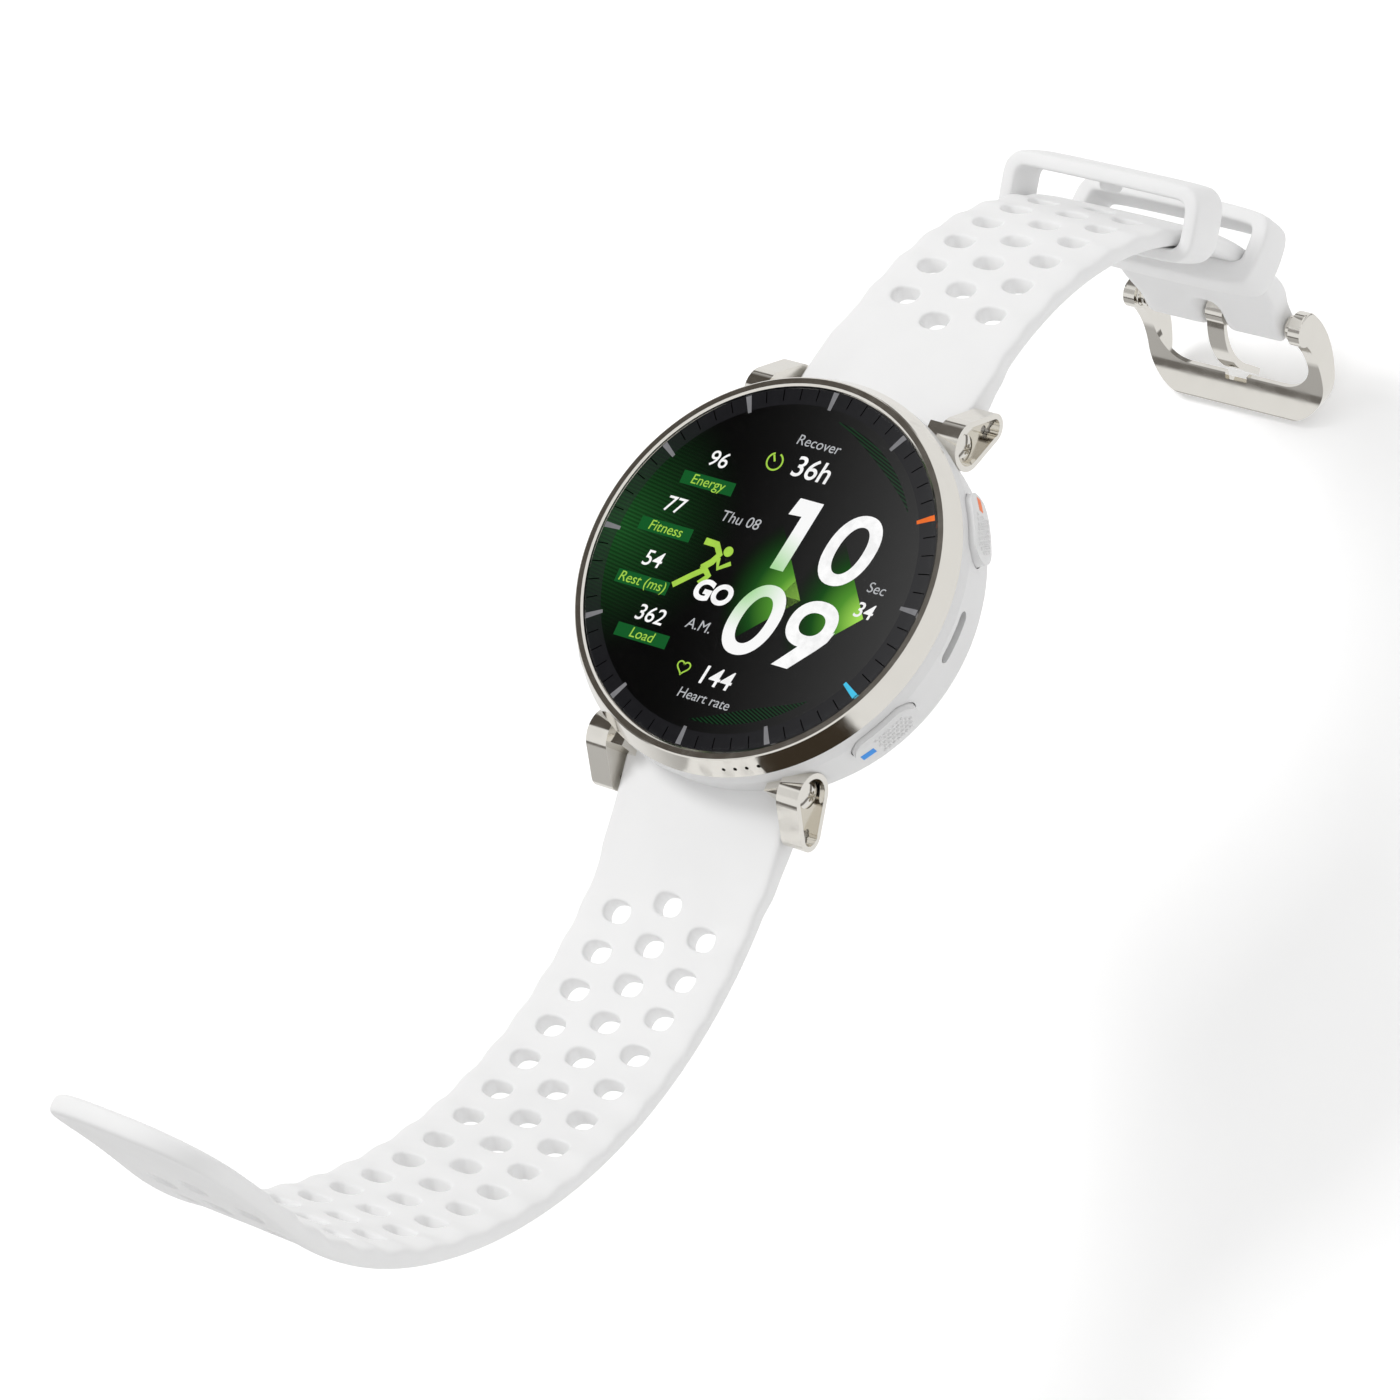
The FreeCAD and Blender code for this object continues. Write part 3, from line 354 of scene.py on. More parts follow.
class StrapMesh:
    """One strap half: an outer and an inner skin on a shared grid, with rings round each hole."""

    def __init__(self, route, pitch, first_row, rows):
        self.route = route
        self.pitch = pitch
        self.first_row = first_row
        self.rows = rows
        self.patch = Patch()
        self.stations = []

    def half_width(self, s):
        return between(ROOT_HALF_WIDTH, HALF_WIDTH, smooth_step((s - 2) / 6))

    def start(self, x):
        """How far back the root reaches, up to the round case."""
        reach = math.sqrt(ROOT_RADIUS ** 2 - x * x)
        return (reach - BAR_REACH) / abs(math.cos(self.route.stretches[0][3]))

    def wave(self, s, x):
        """The ripple of the outer skin: high beside the outer holes, low between them."""
        last = self.first_row + (self.rows - 1) * self.pitch
        fade = smooth_step((s - self.first_row + 5) / 4) * smooth_step((last + 6 - s) / 4)
        weight = between(0.25, 1.0, smooth_step((abs(x) - 3) / 6))
        return 0.22 * fade * weight * math.cos(2 * math.pi * (s - self.first_row) / self.pitch)

    def outer(self, s, x):
        centre = self.route.at(self.start(x), x, 0)[2]
        root = (ROOT_TOP - centre) / abs(math.cos(self.route.stretches[0][3]))
        reach = smooth_step((s - self.start(x)) / (14 - self.start(x)))
        crown = 0.12 * (x / HALF_WIDTH) ** 2
        return between(root, HALF_THICKNESS, reach) - crown + self.wave(s, x)

    def inner(self, s, x):
        return -HALF_THICKNESS - 0.6 * smooth_step((5.5 - s) / 4)

    def line_x(self, j, s):
        """Where a line of the grid runs: four steps over each column of holes, and one to the edge."""
        if abs(j) <= 6:
            return j * COLUMN_EDGE / 2
        return math.copysign(self.half_width(s) - FLAT_INSET, j)

    def grid_point(self, skin, i, j):
        kind, s, squeeze = self.stations[i]
        x = self.line_x(j, s) * squeeze
        if kind == "root":
            s = between(self.start(x), self.root_end, s)
        height = self.outer if skin == "o" else self.inner
        return self.patch.add((skin, i, j), self.route.at(s, x, height(s, x)))

    def edge_loop(self, i, j):
        """The keys of the rounded edge beside a boundary point of the grid, from outer to inner skin."""
        kind, s, squeeze = self.stations[i]
        x = self.line_x(j, s) * squeeze
        nx, ns = self.edge_normal(i, j)
        if kind == "root":
            s = between(self.start(x), self.root_end, s)
        keys = [("o", i, j)]
        heights = self.edge_heights(s, x)
        for k, (out, h) in enumerate(zip((0.92, 1.24, FLAT_INSET, 1.25, 0.85), heights)):
            key = ("e", i, j, k)
            self.patch.add(key, self.route.at(s + ns * out, x + nx * out, h))
            keys.append(key)
        return keys + [("i", i, j)]

    def edge_heights(self, s, x):
        """The heights of a wall's five rows, from the outer skin down to the inner one."""
        top, low = self.outer(s, x), self.inner(s, x)
        return top - 0.1, top - 0.48, 0.1 * top, low + 0.3, low + 0.04

    def edge_normal(self, i, j):
        """The way out of the outline at a boundary point of the grid, across and along."""
        return math.copysign(1.0, j), 0.0

    def hole_cells(self):
        """(first station, first line, x of the centre) of each hole's 4 by 4 cell."""
        base = self.hole_base
        for row in range(self.rows + 1):
            yield base + 4 * row, -2, 0.0
        for row in range(self.rows):
            for side in (-1, 1):
                yield base + 2 + 4 * row, -2 + 4 * side, side * COLUMN

    def cell_border(self, skin, i, j):
        border = [(i, j + k) for k in range(4)] + [(i + k, j + 4) for k in range(4)]
        border += [(i + 4, j + 4 - k) for k in range(4)] + [(i + 4 - k, j) for k in range(4)]
        return [(skin, a, b) for a, b in border]

    def hole(self, i, j, x_centre):
        """A rounded hole in a cell, as rings from the outer skin's cell to the inner one's."""
        s_centre = self.stations[i + 2][1]
        rings = [self.cell_border("o", i, j)]
        steps = (("o", 0.36, -0.02), ("o", 0.1, -0.13), ("o", 0.0, -0.45), ("i", 0.0, 0.3),
                 ("i", 0.08, 0.06), ("i", 0.3, 0.0))
        for level, (skin, grow, lift) in enumerate(steps):
            ring = []
            for k in range(HOLE_POINTS):
                border_i, border_j = self.cell_border("o", i, j)[k][1:]
                turn = math.atan2((border_i - i - 2) / 2, (border_j - j - 2) / 2)
                x = x_centre + round_power(math.cos(turn), HOLE_SQUARENESS) * (HOLE_LONG / 2 + grow)
                s = s_centre + round_power(math.sin(turn), HOLE_SQUARENESS) * (HOLE_WIDE / 2 + grow)
                height = self.outer(s, x) if skin == "o" else self.inner(s, x)
                key = ("h", i, j, level, k)
                self.patch.add(key, self.route.at(s, x, height + lift))
                ring.append(key)
            rings.append(ring)
        rings.append(self.cell_border("i", i, j))
        for first, second in zip(rings, rings[1:]):
            self.patch.strip(first + first[:1], second + second[:1])

    def make_stations(self):
        """The first rows of the grid: a root zone that follows the case, then the zone of holes."""
        self.root_end = self.first_row - self.pitch
        for share in (0.0, 0.03, *(k / ROOT_STEPS for k in range(1, ROOT_STEPS))):
            self.stations.append(("root", share, 1.0))
        self.hole_base = len(self.stations)
        steps = 4 * (self.rows + 1)
        for k in range(steps + 1):
            self.stations.append(("plain", self.root_end + k * self.pitch / 4, 1.0))

    def make_grid(self, skip=()):
        """All grid points, and the plain quads outside the holes' cells."""
        lines = range(-7, 8)
        taken = set(skip)
        for i, j, _ in self.hole_cells():
            taken.update((i + a, j + b) for a in range(4) for b in range(4))
        for i in range(len(self.stations) - 1):
            for j in range(-7, 7):
                if (i, j) in taken:
                    continue
                for skin in "oi":
                    corners = ((i, j), (i, j + 1), (i + 1, j + 1), (i + 1, j))
                    for a, b in corners:
                        self.grid_point(skin, a, b)
                    self.patch.face([(skin, a, b) for a, b in corners])
        for i, j, x in self.hole_cells():
            for skin in "oi":
                for key in self.cell_border(skin, i, j):
                    self.grid_point(*key)
            self.hole(i, j, x)

    def close_edge(self, border):
        """Skin the rounded edge along a run of boundary points."""
        loops = [self.edge_loop(i, j) for i, j in border]
        for first, second in zip(loops, loops[1:]):
            self.patch.strip(first, second)


def round_power(value, power):
    """A sine or cosine raised to a power below 1, which squares the circle it draws."""
    return math.copysign(abs(value) ** power, value)


class TailMesh(StrapMesh):
    """The tail side, whose tip has rounded corners."""

    def __init__(self):
        super().__init__(TAIL, TAIL_PITCH, TAIL_FIRST_ROW, TAIL_ROWS)
        self.corner = TIP_CORNER - FLAT_INSET
        start = TAIL.length - TIP_CORNER
        self.make_stations()
        first = self.stations[-1][1]
        for k in range(1, 9):
            self.stations.append(("plain", between(first, start, k / 8), 1.0))
        flat = HALF_WIDTH - FLAT_INSET
        for turn in TIP_TURNS:
            a = math.radians(turn)
            width = (HALF_WIDTH - TIP_CORNER + self.corner * math.cos(a)) / flat
            self.stations.append(("tip", start + self.corner * math.sin(a), width))

    def edge_normal(self, i, j):
        if self.stations[i][0] != "tip":
            return super().edge_normal(i, j)
        turn = TIP_TURNS[i - len(self.stations)] if abs(j) == 7 else 90
        a = math.radians(turn)
        return math.copysign(math.cos(a), j), math.sin(a)

    def inner(self, s, x):
        """The inner skin near the tip has a shallow panel inside a rim."""
        base = super().inner(s, x)
        start = TAIL.length - PANEL_LENGTH
        inside = smooth_step((s - start) / 1.0) * smooth_step((TAIL.length - 1.2 - s) / 0.8)
        return base + 0.25 * inside * smooth_step((self.rim(s) - abs(x)) / 0.8)

    def rim(self, s):
        """How far out the panel's rim runs, following the rounded tip."""
        past = s - (TAIL.length - TIP_CORNER)
        if past <= 0:
            return HALF_WIDTH - FLAT_INSET
        return HALF_WIDTH - TIP_CORNER + math.sqrt(max(0.0, self.corner ** 2 - min(past, self.corner) ** 2))

    def make(self):
        self.make_grid()
        last = len(self.stations) - 1
        border = [(i, -7) for i in range(last + 1)] + [(last, j) for j in range(-6, 7)]
        border += [(i, 7) for i in range(last, -1, -1)]
        self.close_edge(border)
        close_root(self)
        return self.patch.build("strap_tail_side_soft", "silicone_white")


def close_root(strap):
    """The root's end wall, which stands against the case."""
    patch = strap.patch
    rows = []
    for level, back in enumerate((0.0, 0.12, 0.0, -0.1, -0.3)):
        row = []
        for j in range(-7, 8):
            if abs(j) == 7:
                row.append(("e", 0, j, level))
                continue
            x = strap.line_x(j, 0)
            s = strap.start(x)
            key = ("r", level, j)
            patch.add(key, strap.route.at(s - back, x, strap.edge_heights(s, x)[level]))
            row.append(key)
        rows.append(row)
    rows = [[("o", 0, j) for j in range(-7, 8)]] + rows + [[("i", 0, j) for j in range(-7, 8)]]
    for above, below in zip(rows, rows[1:]):
        patch.strip(above, below)


class BuckleMesh(StrapMesh):
    """The buckle side, which thickens to a wide eye round the buckle's pin."""

    def __init__(self):
        super().__init__(BUCKLE, BUCKLE_PITCH, BUCKLE_FIRST_ROW, BUCKLE_ROWS)
        self.make_stations()
        first, last = self.stations[-1][1], BUCKLE.length
        self.slot_station = len(self.stations) + 9
        for k in range(1, 11):
            self.stations.append(("plain", between(first, last - 3.4, k / 10), 1.0))
        for s in (last - 2.2, last - 1.0, last, last + 0.8):
            self.stations.append(("plain", s, 1.0))

    def half_width(self, s):
        return super().half_width(s) - 1.25 * smooth_step((s - BUCKLE.length + 6.5) / 4.5)

    def swell(self, s):
        """What each skin gains towards the eye."""
        return 0.75 * smooth_step((s - BUCKLE.length + 15) / 12)

    def outer(self, s, x):
        past = max(0.0, s - BUCKLE.length) / EYE_LENGTH
        return (super().outer(s, x) + self.swell(s)) * math.sqrt(max(0.1, 1 - past * past))

    def inner(self, s, x):
        past = max(0.0, s - BUCKLE.length) / EYE_LENGTH
        return (super().inner(s, x) - self.swell(s)) * math.sqrt(max(0.1, 1 - past * past))

    def make(self):
        slot = [(i, j) for i in range(self.slot_station, len(self.stations)) for j in (-1, 0)]
        self.make_grid(skip=slot)
        last = len(self.stations) - 1
        self.close_edge([(i, -7) for i in range(last + 1)])
        self.close_edge([(i, 7) for i in range(last + 1)])
        self.close_end(last)
        self.close_slot(last)
        close_root(self)
        return self.patch.build("strap_buckle_side_soft", "silicone_white")

    def close_end(self, last):
        """The rounded end past the pin, in two halves beside the slot."""
        s = self.stations[last][1]
        for lines in (range(-7, 0), range(1, 8)):
            rows = [[("o", last, j) for j in lines]]
            for level, (ahead, share) in enumerate(((0.75, 0.62), (1.0, 0.25), (1.0, -0.1), (1.0, -0.35),
                                                    (0.75, -0.7))):
                row = []
                for j in lines:
                    key = ("e", last, j, level) if abs(j) == 7 else ("n", level, j)
                    x = self.line_x(j, s)
                    top = self.outer(s, x)
                    self.patch.add(key, self.route.at(s + ahead, x, top * share))
                    row.append(key)
                rows.append(row)
            rows.append([("i", last, j) for j in lines])
            for above, below in zip(rows, rows[1:]):
                self.patch.strip(above, below)

    def close_slot(self, last):
        """The walls of the slot that the buckle's tongue turns in."""
        for j in (-1, 1):
            walls = [[("o", i, j), ("i", i, j)] for i in range(self.slot_station, last + 1)]
            for first, second in zip(walls, walls[1:]):
                self.patch.strip(first, second)
            self.patch.face([("o", last, j), *[("n", k, j) for k in range(5)], ("i", last, j)])
        i = self.slot_station
        for a, b in ((-1, 0), (0, 1)):
            self.patch.face([("o", i, a), ("o", i, b), ("i", i, b), ("i", i, a)])


def make_straps():
    tail = TailMesh().make()
    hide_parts("strap_tail_side")
    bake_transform(tail)
    buckle = BuckleMesh().make()
    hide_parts("strap_buckle_side")
    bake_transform(buckle)


# ---- keepers ----

# where the keepers sit at rest, in degrees on the buckle side's arc
FREE_KEEPER_PLACE, FIXED_KEEPER_PLACE = 26.0, 6.3


def arc_centre():
    """The centre of the buckle side's arc, in Y and Z."""
    y, z, heading, bend = BUCKLE.stretches[-1][1:]
    return y - math.sin(heading) / bend, z + math.cos(heading) / bend


def on_arc(place, x, out, along):
    """A point at a polar place in degrees on the arc: x across, out from the middle layer and along it."""
    cy, cz = arc_centre()
    a = math.radians(place)
    radius = BUCKLE_BEND + out
    return (x, cy + radius * math.cos(a) - along * math.sin(a),
            cz + radius * math.sin(a) + along * math.cos(a))


def rounded_rectangle(half, low, high, corner, steps=4):
    """Points (x, out) round a rectangle with rounded corners, each corner with the same count."""
    points = []
    for cx, cz, start in ((half - corner, high - corner, 0), (corner - half, high - corner, 90),
                          (corner - half, low + corner, 180), (half - corner, low + corner, 270)):
        for k in range(steps + 1):
            a = math.radians(start + 90 * k / steps)
            points.append((cx + corner * math.cos(a), cz + corner * math.sin(a)))
    return points


def loop_band(name, place, outer, inner, length, body, node):
    """A soft loop round the strap between an outer and an inner outline of equal point counts."""
    patch = Patch()
    section = ((1.0, -0.86), (1.0, 0.0), (1.0, 0.86), (0.84, 1.0), (0.16, 1.0), (0.0, 0.86), (0.0, 0.0),
               (0.0, -0.86), (0.16, -1.0), (0.84, -1.0))
    rings = []
    for k, (a, b) in enumerate(zip(inner, outer)):
        ring = []
        for m, (share, along) in enumerate(section):
            x, out = between(a[0], b[0], share), between(a[1], b[1], share)
            patch.add((k, m), on_arc(place, x, out, along * length / 2))
            ring.append((k, m))
        rings.append(ring + ring[:1])
    for first, second in zip(rings, rings[1:] + rings[:1]):
        patch.strip(first, second)
    loop = patch.build(name, "silicone_white")
    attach(loop, body)
    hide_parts(node)


def make_peg(place):
    """The small peg under the free keeper's bar, which drops into a hole of the tail."""
    patch = Patch()
    rings = []
    for level, (grow, out) in enumerate(((0.25, 4.3), (0.05, 4.0), (0.0, 3.4), (-0.3, 3.12), (-0.8, 3.1))):
        ring = []
        for k in range(12):
            a = math.radians(30 * k)
            across, along = (1.45 + grow) * math.cos(a), 0.4 + (0.95 + grow) * math.sin(a)
            patch.add((level, k), on_arc(place, across, out, along))
            ring.append((level, k))
        rings.append(ring)
    for first, second in zip(rings, rings[1:]):
        patch.strip(first + first[:1], second + second[:1])
    patch.face(rings[-1])
    peg = patch.build("free_keeper_peg", "silicone_white")
    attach(peg, "keeper")


def make_keepers():
    loop_band("free_keeper_soft", FREE_KEEPER_PLACE, rounded_rectangle(13.0, -2.95, 5.85, 2.7),
              rounded_rectangle(11.1, -1.35, 3.95, 1.3), 5.6, "keeper", "free_keeper")
    make_peg(FREE_KEEPER_PLACE)
    loop_band("fixed_keeper_soft", FIXED_KEEPER_PLACE, rounded_rectangle(13.0, -3.95, 5.45, 2.4, 2),
              rounded_rectangle(10.8, -0.9, 3.45, 0.9, 2), 5.4, "buckle_strap", "fixed_keeper")


# ---- buttons ----

BUTTON_FACE = 23.2
BUTTON_TURN = 31
DOT_PITCH, DOT_ROW = 0.58, 0.55


def make_button_dots():
    """Raised grip dots on the caps, clear of the inlay."""
    for name, sx, sy in (("two", 1, 1), ("four", 1, -1), ("eight", -1, -1), ("ten", -1, 1)):
        patch = Patch()
        turn = math.radians(BUTTON_TURN * sy if sx > 0 else 180 - BUTTON_TURN * sy)
        low, high = node_box("button_" + name)
        middle = (low.z + high.z) / 2
        count = 0
        for row in range(-2, 3):
            for column in range(9):
                across = -1.15 + DOT_PITCH * column + (row % 2) * DOT_PITCH / 2
                if across > 3.3 - 0.15 * row * row:
                    continue
                add_dot(patch, count, -sx * sy * across, middle + row * DOT_ROW, turn)
                count += 1
        dots = patch.build("button_dots_" + name, "case_white", 1)
        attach(dots, "button_" + name + "_body")


def add_dot(patch, number, y, z, turn):
    """A low dome on the cap's round face."""
    x = math.sqrt(BUTTON_FACE ** 2 - y * y)
    rings = []
    for level, (wide, out) in enumerate(((0.24, -0.05), (0.21, 0.12), (0.11, 0.2))):
        ring = []
        for k in range(8):
            a = math.radians(45 * k)
            px, py, pz = x + out, y + wide * math.cos(a), z + wide * math.sin(a)
            across = px * math.sin(turn) + py * math.cos(turn)
            patch.add((number, level, k), (px * math.cos(turn) - py * math.sin(turn), across, pz))
            ring.append((number, level, k))
        rings.append(ring)
    for first, second in zip(rings, rings[1:]):
        patch.strip(first + first[:1], second + second[:1])
    patch.face(rings[-1])


# ---- dial ----

# the height of the dial's ground, and how far above it the other pieces lie
DIAL = node_box("cover_glass")[0].z + 0.02
RING_LIFT, SHAPE_LIFT, LIMB_LIFT, TEXT_LIFT, HAND_LIFT, TICK_LIFT = 0.02, 0.03, 0.04, 0.05, 0.06, 0.07
DIAL_RADIUS = 20.3
RING_RADIUS = 18.45
HATCH_RADIUS = 17.4
# the name and point of each arrow shape, along X
WEDGES = (("dial_wedge_left", 6.6), ("dial_wedge_right", 14.6))
WEDGE_Y = -2.15
LABEL_BAR = 3.4, 0.75
CAPITAL_SHARE = 0.70
TEXT_SLANT = 0.16
RING_STEPS, RING_SQUARENESS = 40, 0.92
ZERO_HALF, ZERO_HEIGHT, ZERO_SLANT, ZERO_STROKE = 2.95, 4.1, 0.17, 1.42


def dark_finish(name, colour, strength, base=(0.0, 0.0, 0.0)):
    """A dark matt surface that glows, like a lit point of a display."""
    return Finish(name, base, 0.4, Specular_IOR_Level=0.0).glow(colour, strength)


def dial_finish(name, colour, strength):
    finish = dark_finish(name, colour, strength)
    glow = finish.ramp(finish.noise(0.9), strength * 0.93, strength * 1.05)
    finish.links.new(glow, finish.shader.inputs["Emission Strength"])
    FINISHES[name] = finish.material
    return finish


def make_dial_finishes():
    dial_finish("dial_white", (1.0, 1.0, 1.0), 0.95)
    dial_finish("dial_grey", (0.75, 0.77, 0.8), 0.62)
    dial_finish("dial_lime", (0.50, 0.86, 0.10), 0.75)
    dial_finish("dial_tick", (0.42, 0.42, 0.44), 0.5)
    dial_finish("dial_orange", (1.0, 0.20, 0.04), 0.85)
    dial_finish("dial_cyan", (0.08, 0.62, 0.92), 0.85)
    dial_finish("dial_ring", (0.026, 0.026, 0.03), 1.0).set("Alpha", 0.45)
    dial_finish("dial_minute", (0.0, 0.0, 0.0), 0.01)
    make_ground_finish()
    make_wedge_finish()
    make_tinted_finish()
    make_strip_finish()
    make_hatch_finish()


def split_place(finish):
    split = finish.nodes.new("ShaderNodeSeparateXYZ")
    finish.links.new(finish.place, split.inputs["Vector"])
    return split.outputs["X"], split.outputs["Y"]


def distance_from(finish, x_mm, y_mm):
    x, y = split_place(finish)
    dx = math_node(finish, "SUBTRACT", x, x_mm * MM)
    dy = math_node(finish, "SUBTRACT", y, y_mm * MM)
    squares = [math_node(finish, "MULTIPLY", d, d) for d in (dx, dy)]
    return math_node(finish, "SQRT", math_node(finish, "ADD", *squares))


def line_pattern(finish, pitch, slope):
    """Fine parallel lines, as a value from 0 to 1."""
    x, y = split_place(finish)
    across = math_node(finish, "ADD", y, math_node(finish, "MULTIPLY", x, slope))
    wave = math_node(finish, "SINE", math_node(finish, "MULTIPLY", across, 2 * math.pi / (pitch * MM)))
    return math_node(finish, "ADD", math_node(finish, "MULTIPLY", wave, 0.5), 0.5)


def make_ground_finish():
    """Near black, with a painted reflection of the glass that greys it towards the right, and a lined green
    glow on the left.
    """
    finish = dark_finish("dial_ground", (1.0, 1.0, 1.0), 1.0, (0.002, 0.002, 0.002))
    near = finish.ramp(distance_from(finish, -18.8, 0.5), 1.0, 0.0, 1.0 * MM, 15.5 * MM)
    lines = math_node(finish, "MULTIPLY", line_pattern(finish, 0.42, 0.12), 0.55)
    lines = math_node(finish, "ADD", lines, 0.5)
    green = math_node(finish, "MULTIPLY", math_node(finish, "POWER", near, 1.8), lines)
    x, y = split_place(finish)
    # painted reflection: the glass's soft grey reflection, painted as glow that rises towards the right, over
    # a faint even glow of the black ground
    across = math_node(finish, "ADD", x, math_node(finish, "MULTIPLY", y, 0.15))
    ground_glow_and_painted_reflection = math_node(finish, "POWER", finish.ramp(across, 0.0, 1.0, -9.0 * MM, 20.0 * MM), 1.8)
    ground_glow_and_painted_reflection = math_node(finish, "ADD", math_node(finish, "MULTIPLY", ground_glow_and_painted_reflection, 0.05), 0.0015)
    colour = finish.nodes.new("ShaderNodeCombineColor")
    for socket, share in (("Red", 0.010), ("Green", 0.085), ("Blue", 0.016)):
        tint = math_node(finish, "ADD", math_node(finish, "MULTIPLY", green, share), ground_glow_and_painted_reflection)
        finish.links.new(tint, colour.inputs[socket])
    finish.links.new(colour.outputs["Color"], finish.shader.inputs["Emission Color"])
    FINISHES["dial_ground"] = finish.material


def colour_steps(finish, value, steps):
    """A colour that runs through (position, colour) steps as a value goes from 0 to 1."""
    node = finish.nodes.new("ShaderNodeValToRGB")
    elements = node.color_ramp.elements
    for k, (position, colour) in enumerate(steps):
        element = elements[k] if k < 2 else elements.new(position)
        element.position = position
        element.color = (*colour, 1.0)
    finish.links.new(value, node.inputs["Fac"])
    return node.outputs["Color"]


def make_wedge_finish():
    """The arrow shapes: bright lime at the point, fading through green into nothing."""
    for name, point in WEDGES:
        finish = dark_finish(name, (1.0, 1.0, 1.0), 1.0)
        near = finish.ramp(distance_from(finish, point + 0.6, WEDGE_Y), 1.0, 0.0, 0.0, 10.0 * MM)
        colour = colour_steps(finish, near, ((0.0, (0.0, 0.01, 0.0)), (0.35, (0.012, 0.07, 0.012)),
                                             (0.62, (0.08, 0.28, 0.03)), (0.88, (0.36, 0.70, 0.10))))
        finish.links.new(colour, finish.shader.inputs["Emission Color"])
        finish.links.new(finish.ramp(near, 0.0, 1.0, 0.0, 0.35), finish.shader.inputs["Alpha"])
        FINISHES[name] = finish.material


def make_tinted_finish():
    """White that turns pale green near the arrow shapes."""
    for name, x, y in (("dial_white_one", 1.6, -0.2), ("dial_white_zero", -0.2, -2.2)):
        finish = dark_finish(name, (1.0, 1.0, 1.0), 0.95)
        near = finish.ramp(distance_from(finish, x, y), 0.0, 1.0, 0.8 * MM, 5.0 * MM)
        colour = colour_steps(finish, near, ((0.0, (0.42, 0.74, 0.36)), (1.0, (1.0, 1.0, 1.0))))
        finish.links.new(colour, finish.shader.inputs["Emission Color"])
        FINISHES[name] = finish.material


def make_strip_finish():
    """A soft green bar behind a label, brightest in its middle."""
    finish = dark_finish("dial_strip", (0.008, 0.10, 0.022), 1.0)
    split = finish.nodes.new("ShaderNodeSeparateXYZ")
    finish.links.new(finish.nodes["Texture Coordinate"].outputs["Generated"], split.inputs["Vector"])
    shares = []
    for axis in ("X", "Y"):
        middle = math_node(finish, "ABSOLUTE", math_node(finish, "SUBTRACT", split.outputs[axis], 0.5))
        shares.append(finish.ramp(middle, 1.0, 0.0, 0.08, 0.5))
    finish.links.new(math_node(finish, "MULTIPLY", *shares), finish.shader.inputs["Alpha"])
    FINISHES["dial_strip"] = finish.material


def make_hatch_finish():
    """Faint green lines."""
    finish = dark_finish("dial_hatch", (0.06, 0.40, 0.13), 0.5)
    lines = finish.ramp(line_pattern(finish, 0.33, 0.35), 0.0, 0.17, 0.2, 0.8)
    finish.links.new(lines, finish.shader.inputs["Emission Strength"])
    finish.set("Alpha", 0.5)
    FINISHES["dial_hatch"] = finish.material


def dial_piece(name, finish, outlines, lift=TEXT_LIFT):
    """Flat filled outlines on the dial; each outline may have holes."""
    curve = bpy.data.curves.new(name, "CURVE")
    curve.dimensions = "2D"
    curve.fill_mode = "BOTH"
    for outline in outlines:
        spline = curve.splines.new("POLY")
        spline.points.add(len(outline) - 1)
        for point, (x, y) in zip(spline.points, outline):
            point.co = (x * MM, y * MM, 0, 1)
        spline.use_cyclic_u = True
    dial_mesh(name, finish, curve, (0, 0), lift)


def dial_mesh(name, finish, curve, at, lift):
    """Turn a curve or text into a mesh piece of the case body."""
    holder = bpy.data.objects.new(name + "_curve", curve)
    bpy.context.scene.collection.objects.link(holder)
    bpy.context.view_layer.update()
    mesh = bpy.data.meshes.new_from_object(holder.evaluated_get(bpy.context.evaluated_depsgraph_get()))
    bpy.data.objects.remove(holder)
    mesh.name = name
    mesh.materials.clear()
    mesh.materials.append(FINISHES[finish])
    for vertex in mesh.vertices:
        vertex.co += Vector((at[0] * MM, at[1] * MM, (DIAL + lift) * MM))
    obj = bpy.data.objects.new(name, mesh)
    bpy.context.scene.collection.objects.link(obj)
    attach(obj, "case")


def dial_text(name, text, finish, centre, height, weight=0.0):
    """Slanted text whose capitals are height millimetres tall, centred on a point of the dial."""
    curve = bpy.data.curves.new(name, "FONT")
    curve.body = text
    curve.size = height * MM / CAPITAL_SHARE
    curve.shear = TEXT_SLANT
    curve.offset = weight * MM
    curve.align_x = "CENTER"
    curve.align_y = "CENTER"
    dial_mesh(name, finish, curve, centre, TEXT_LIFT)


def ring_outline(cx, cy, a, b, slant):
    """A slightly squared ellipse, slanted like the digits it belongs to."""
    points = []
    for k in range(RING_STEPS):
        t = 2 * math.pi * k / RING_STEPS
        x, y = a * round_power(math.cos(t), RING_SQUARENESS), b * round_power(math.sin(t), RING_SQUARENESS)
        points.append((cx + x + slant * y, cy + y))
    return points


def big_zero(cx, cy):
    outside = ring_outline(cx, cy, ZERO_HALF, ZERO_HEIGHT, ZERO_SLANT)
    half, height = ZERO_HALF - ZERO_STROKE, ZERO_HEIGHT - ZERO_STROKE * 0.95
    return [outside, ring_outline(cx, cy, half, height, ZERO_SLANT)]


def make_time():
    """The large slanted hour and minute."""
    one = [(0.75, 6.35), (1.35, 8.35), (4.35, 8.35), (3.1, 0.3), (1.4, 0.3), (2.4, 6.45)]
    bowl = [ring_outline(9.15, -4.2, 2.85, 2.65, 0.15), ring_outline(9.15, -4.2, 1.45, 1.3, 0.15)]
    tail = [(12.15, -4.35), (11.75, -5.6), (10.9, -6.7), (8.55, -9.4), (6.5, -9.4), (8.7, -6.75),
            (10.4, -5.9)]
    dial_piece("hour_one", "dial_white_one", [one])
    dial_piece("hour_zero", "dial_white", big_zero(9.72, 4.35))
    dial_piece("minute_zero", "dial_white_zero", big_zero(2.3, -5.45))
    dial_piece("minute_nine_bowl", "dial_white", bowl)
    dial_piece("minute_nine_tail", "dial_white", [tail])


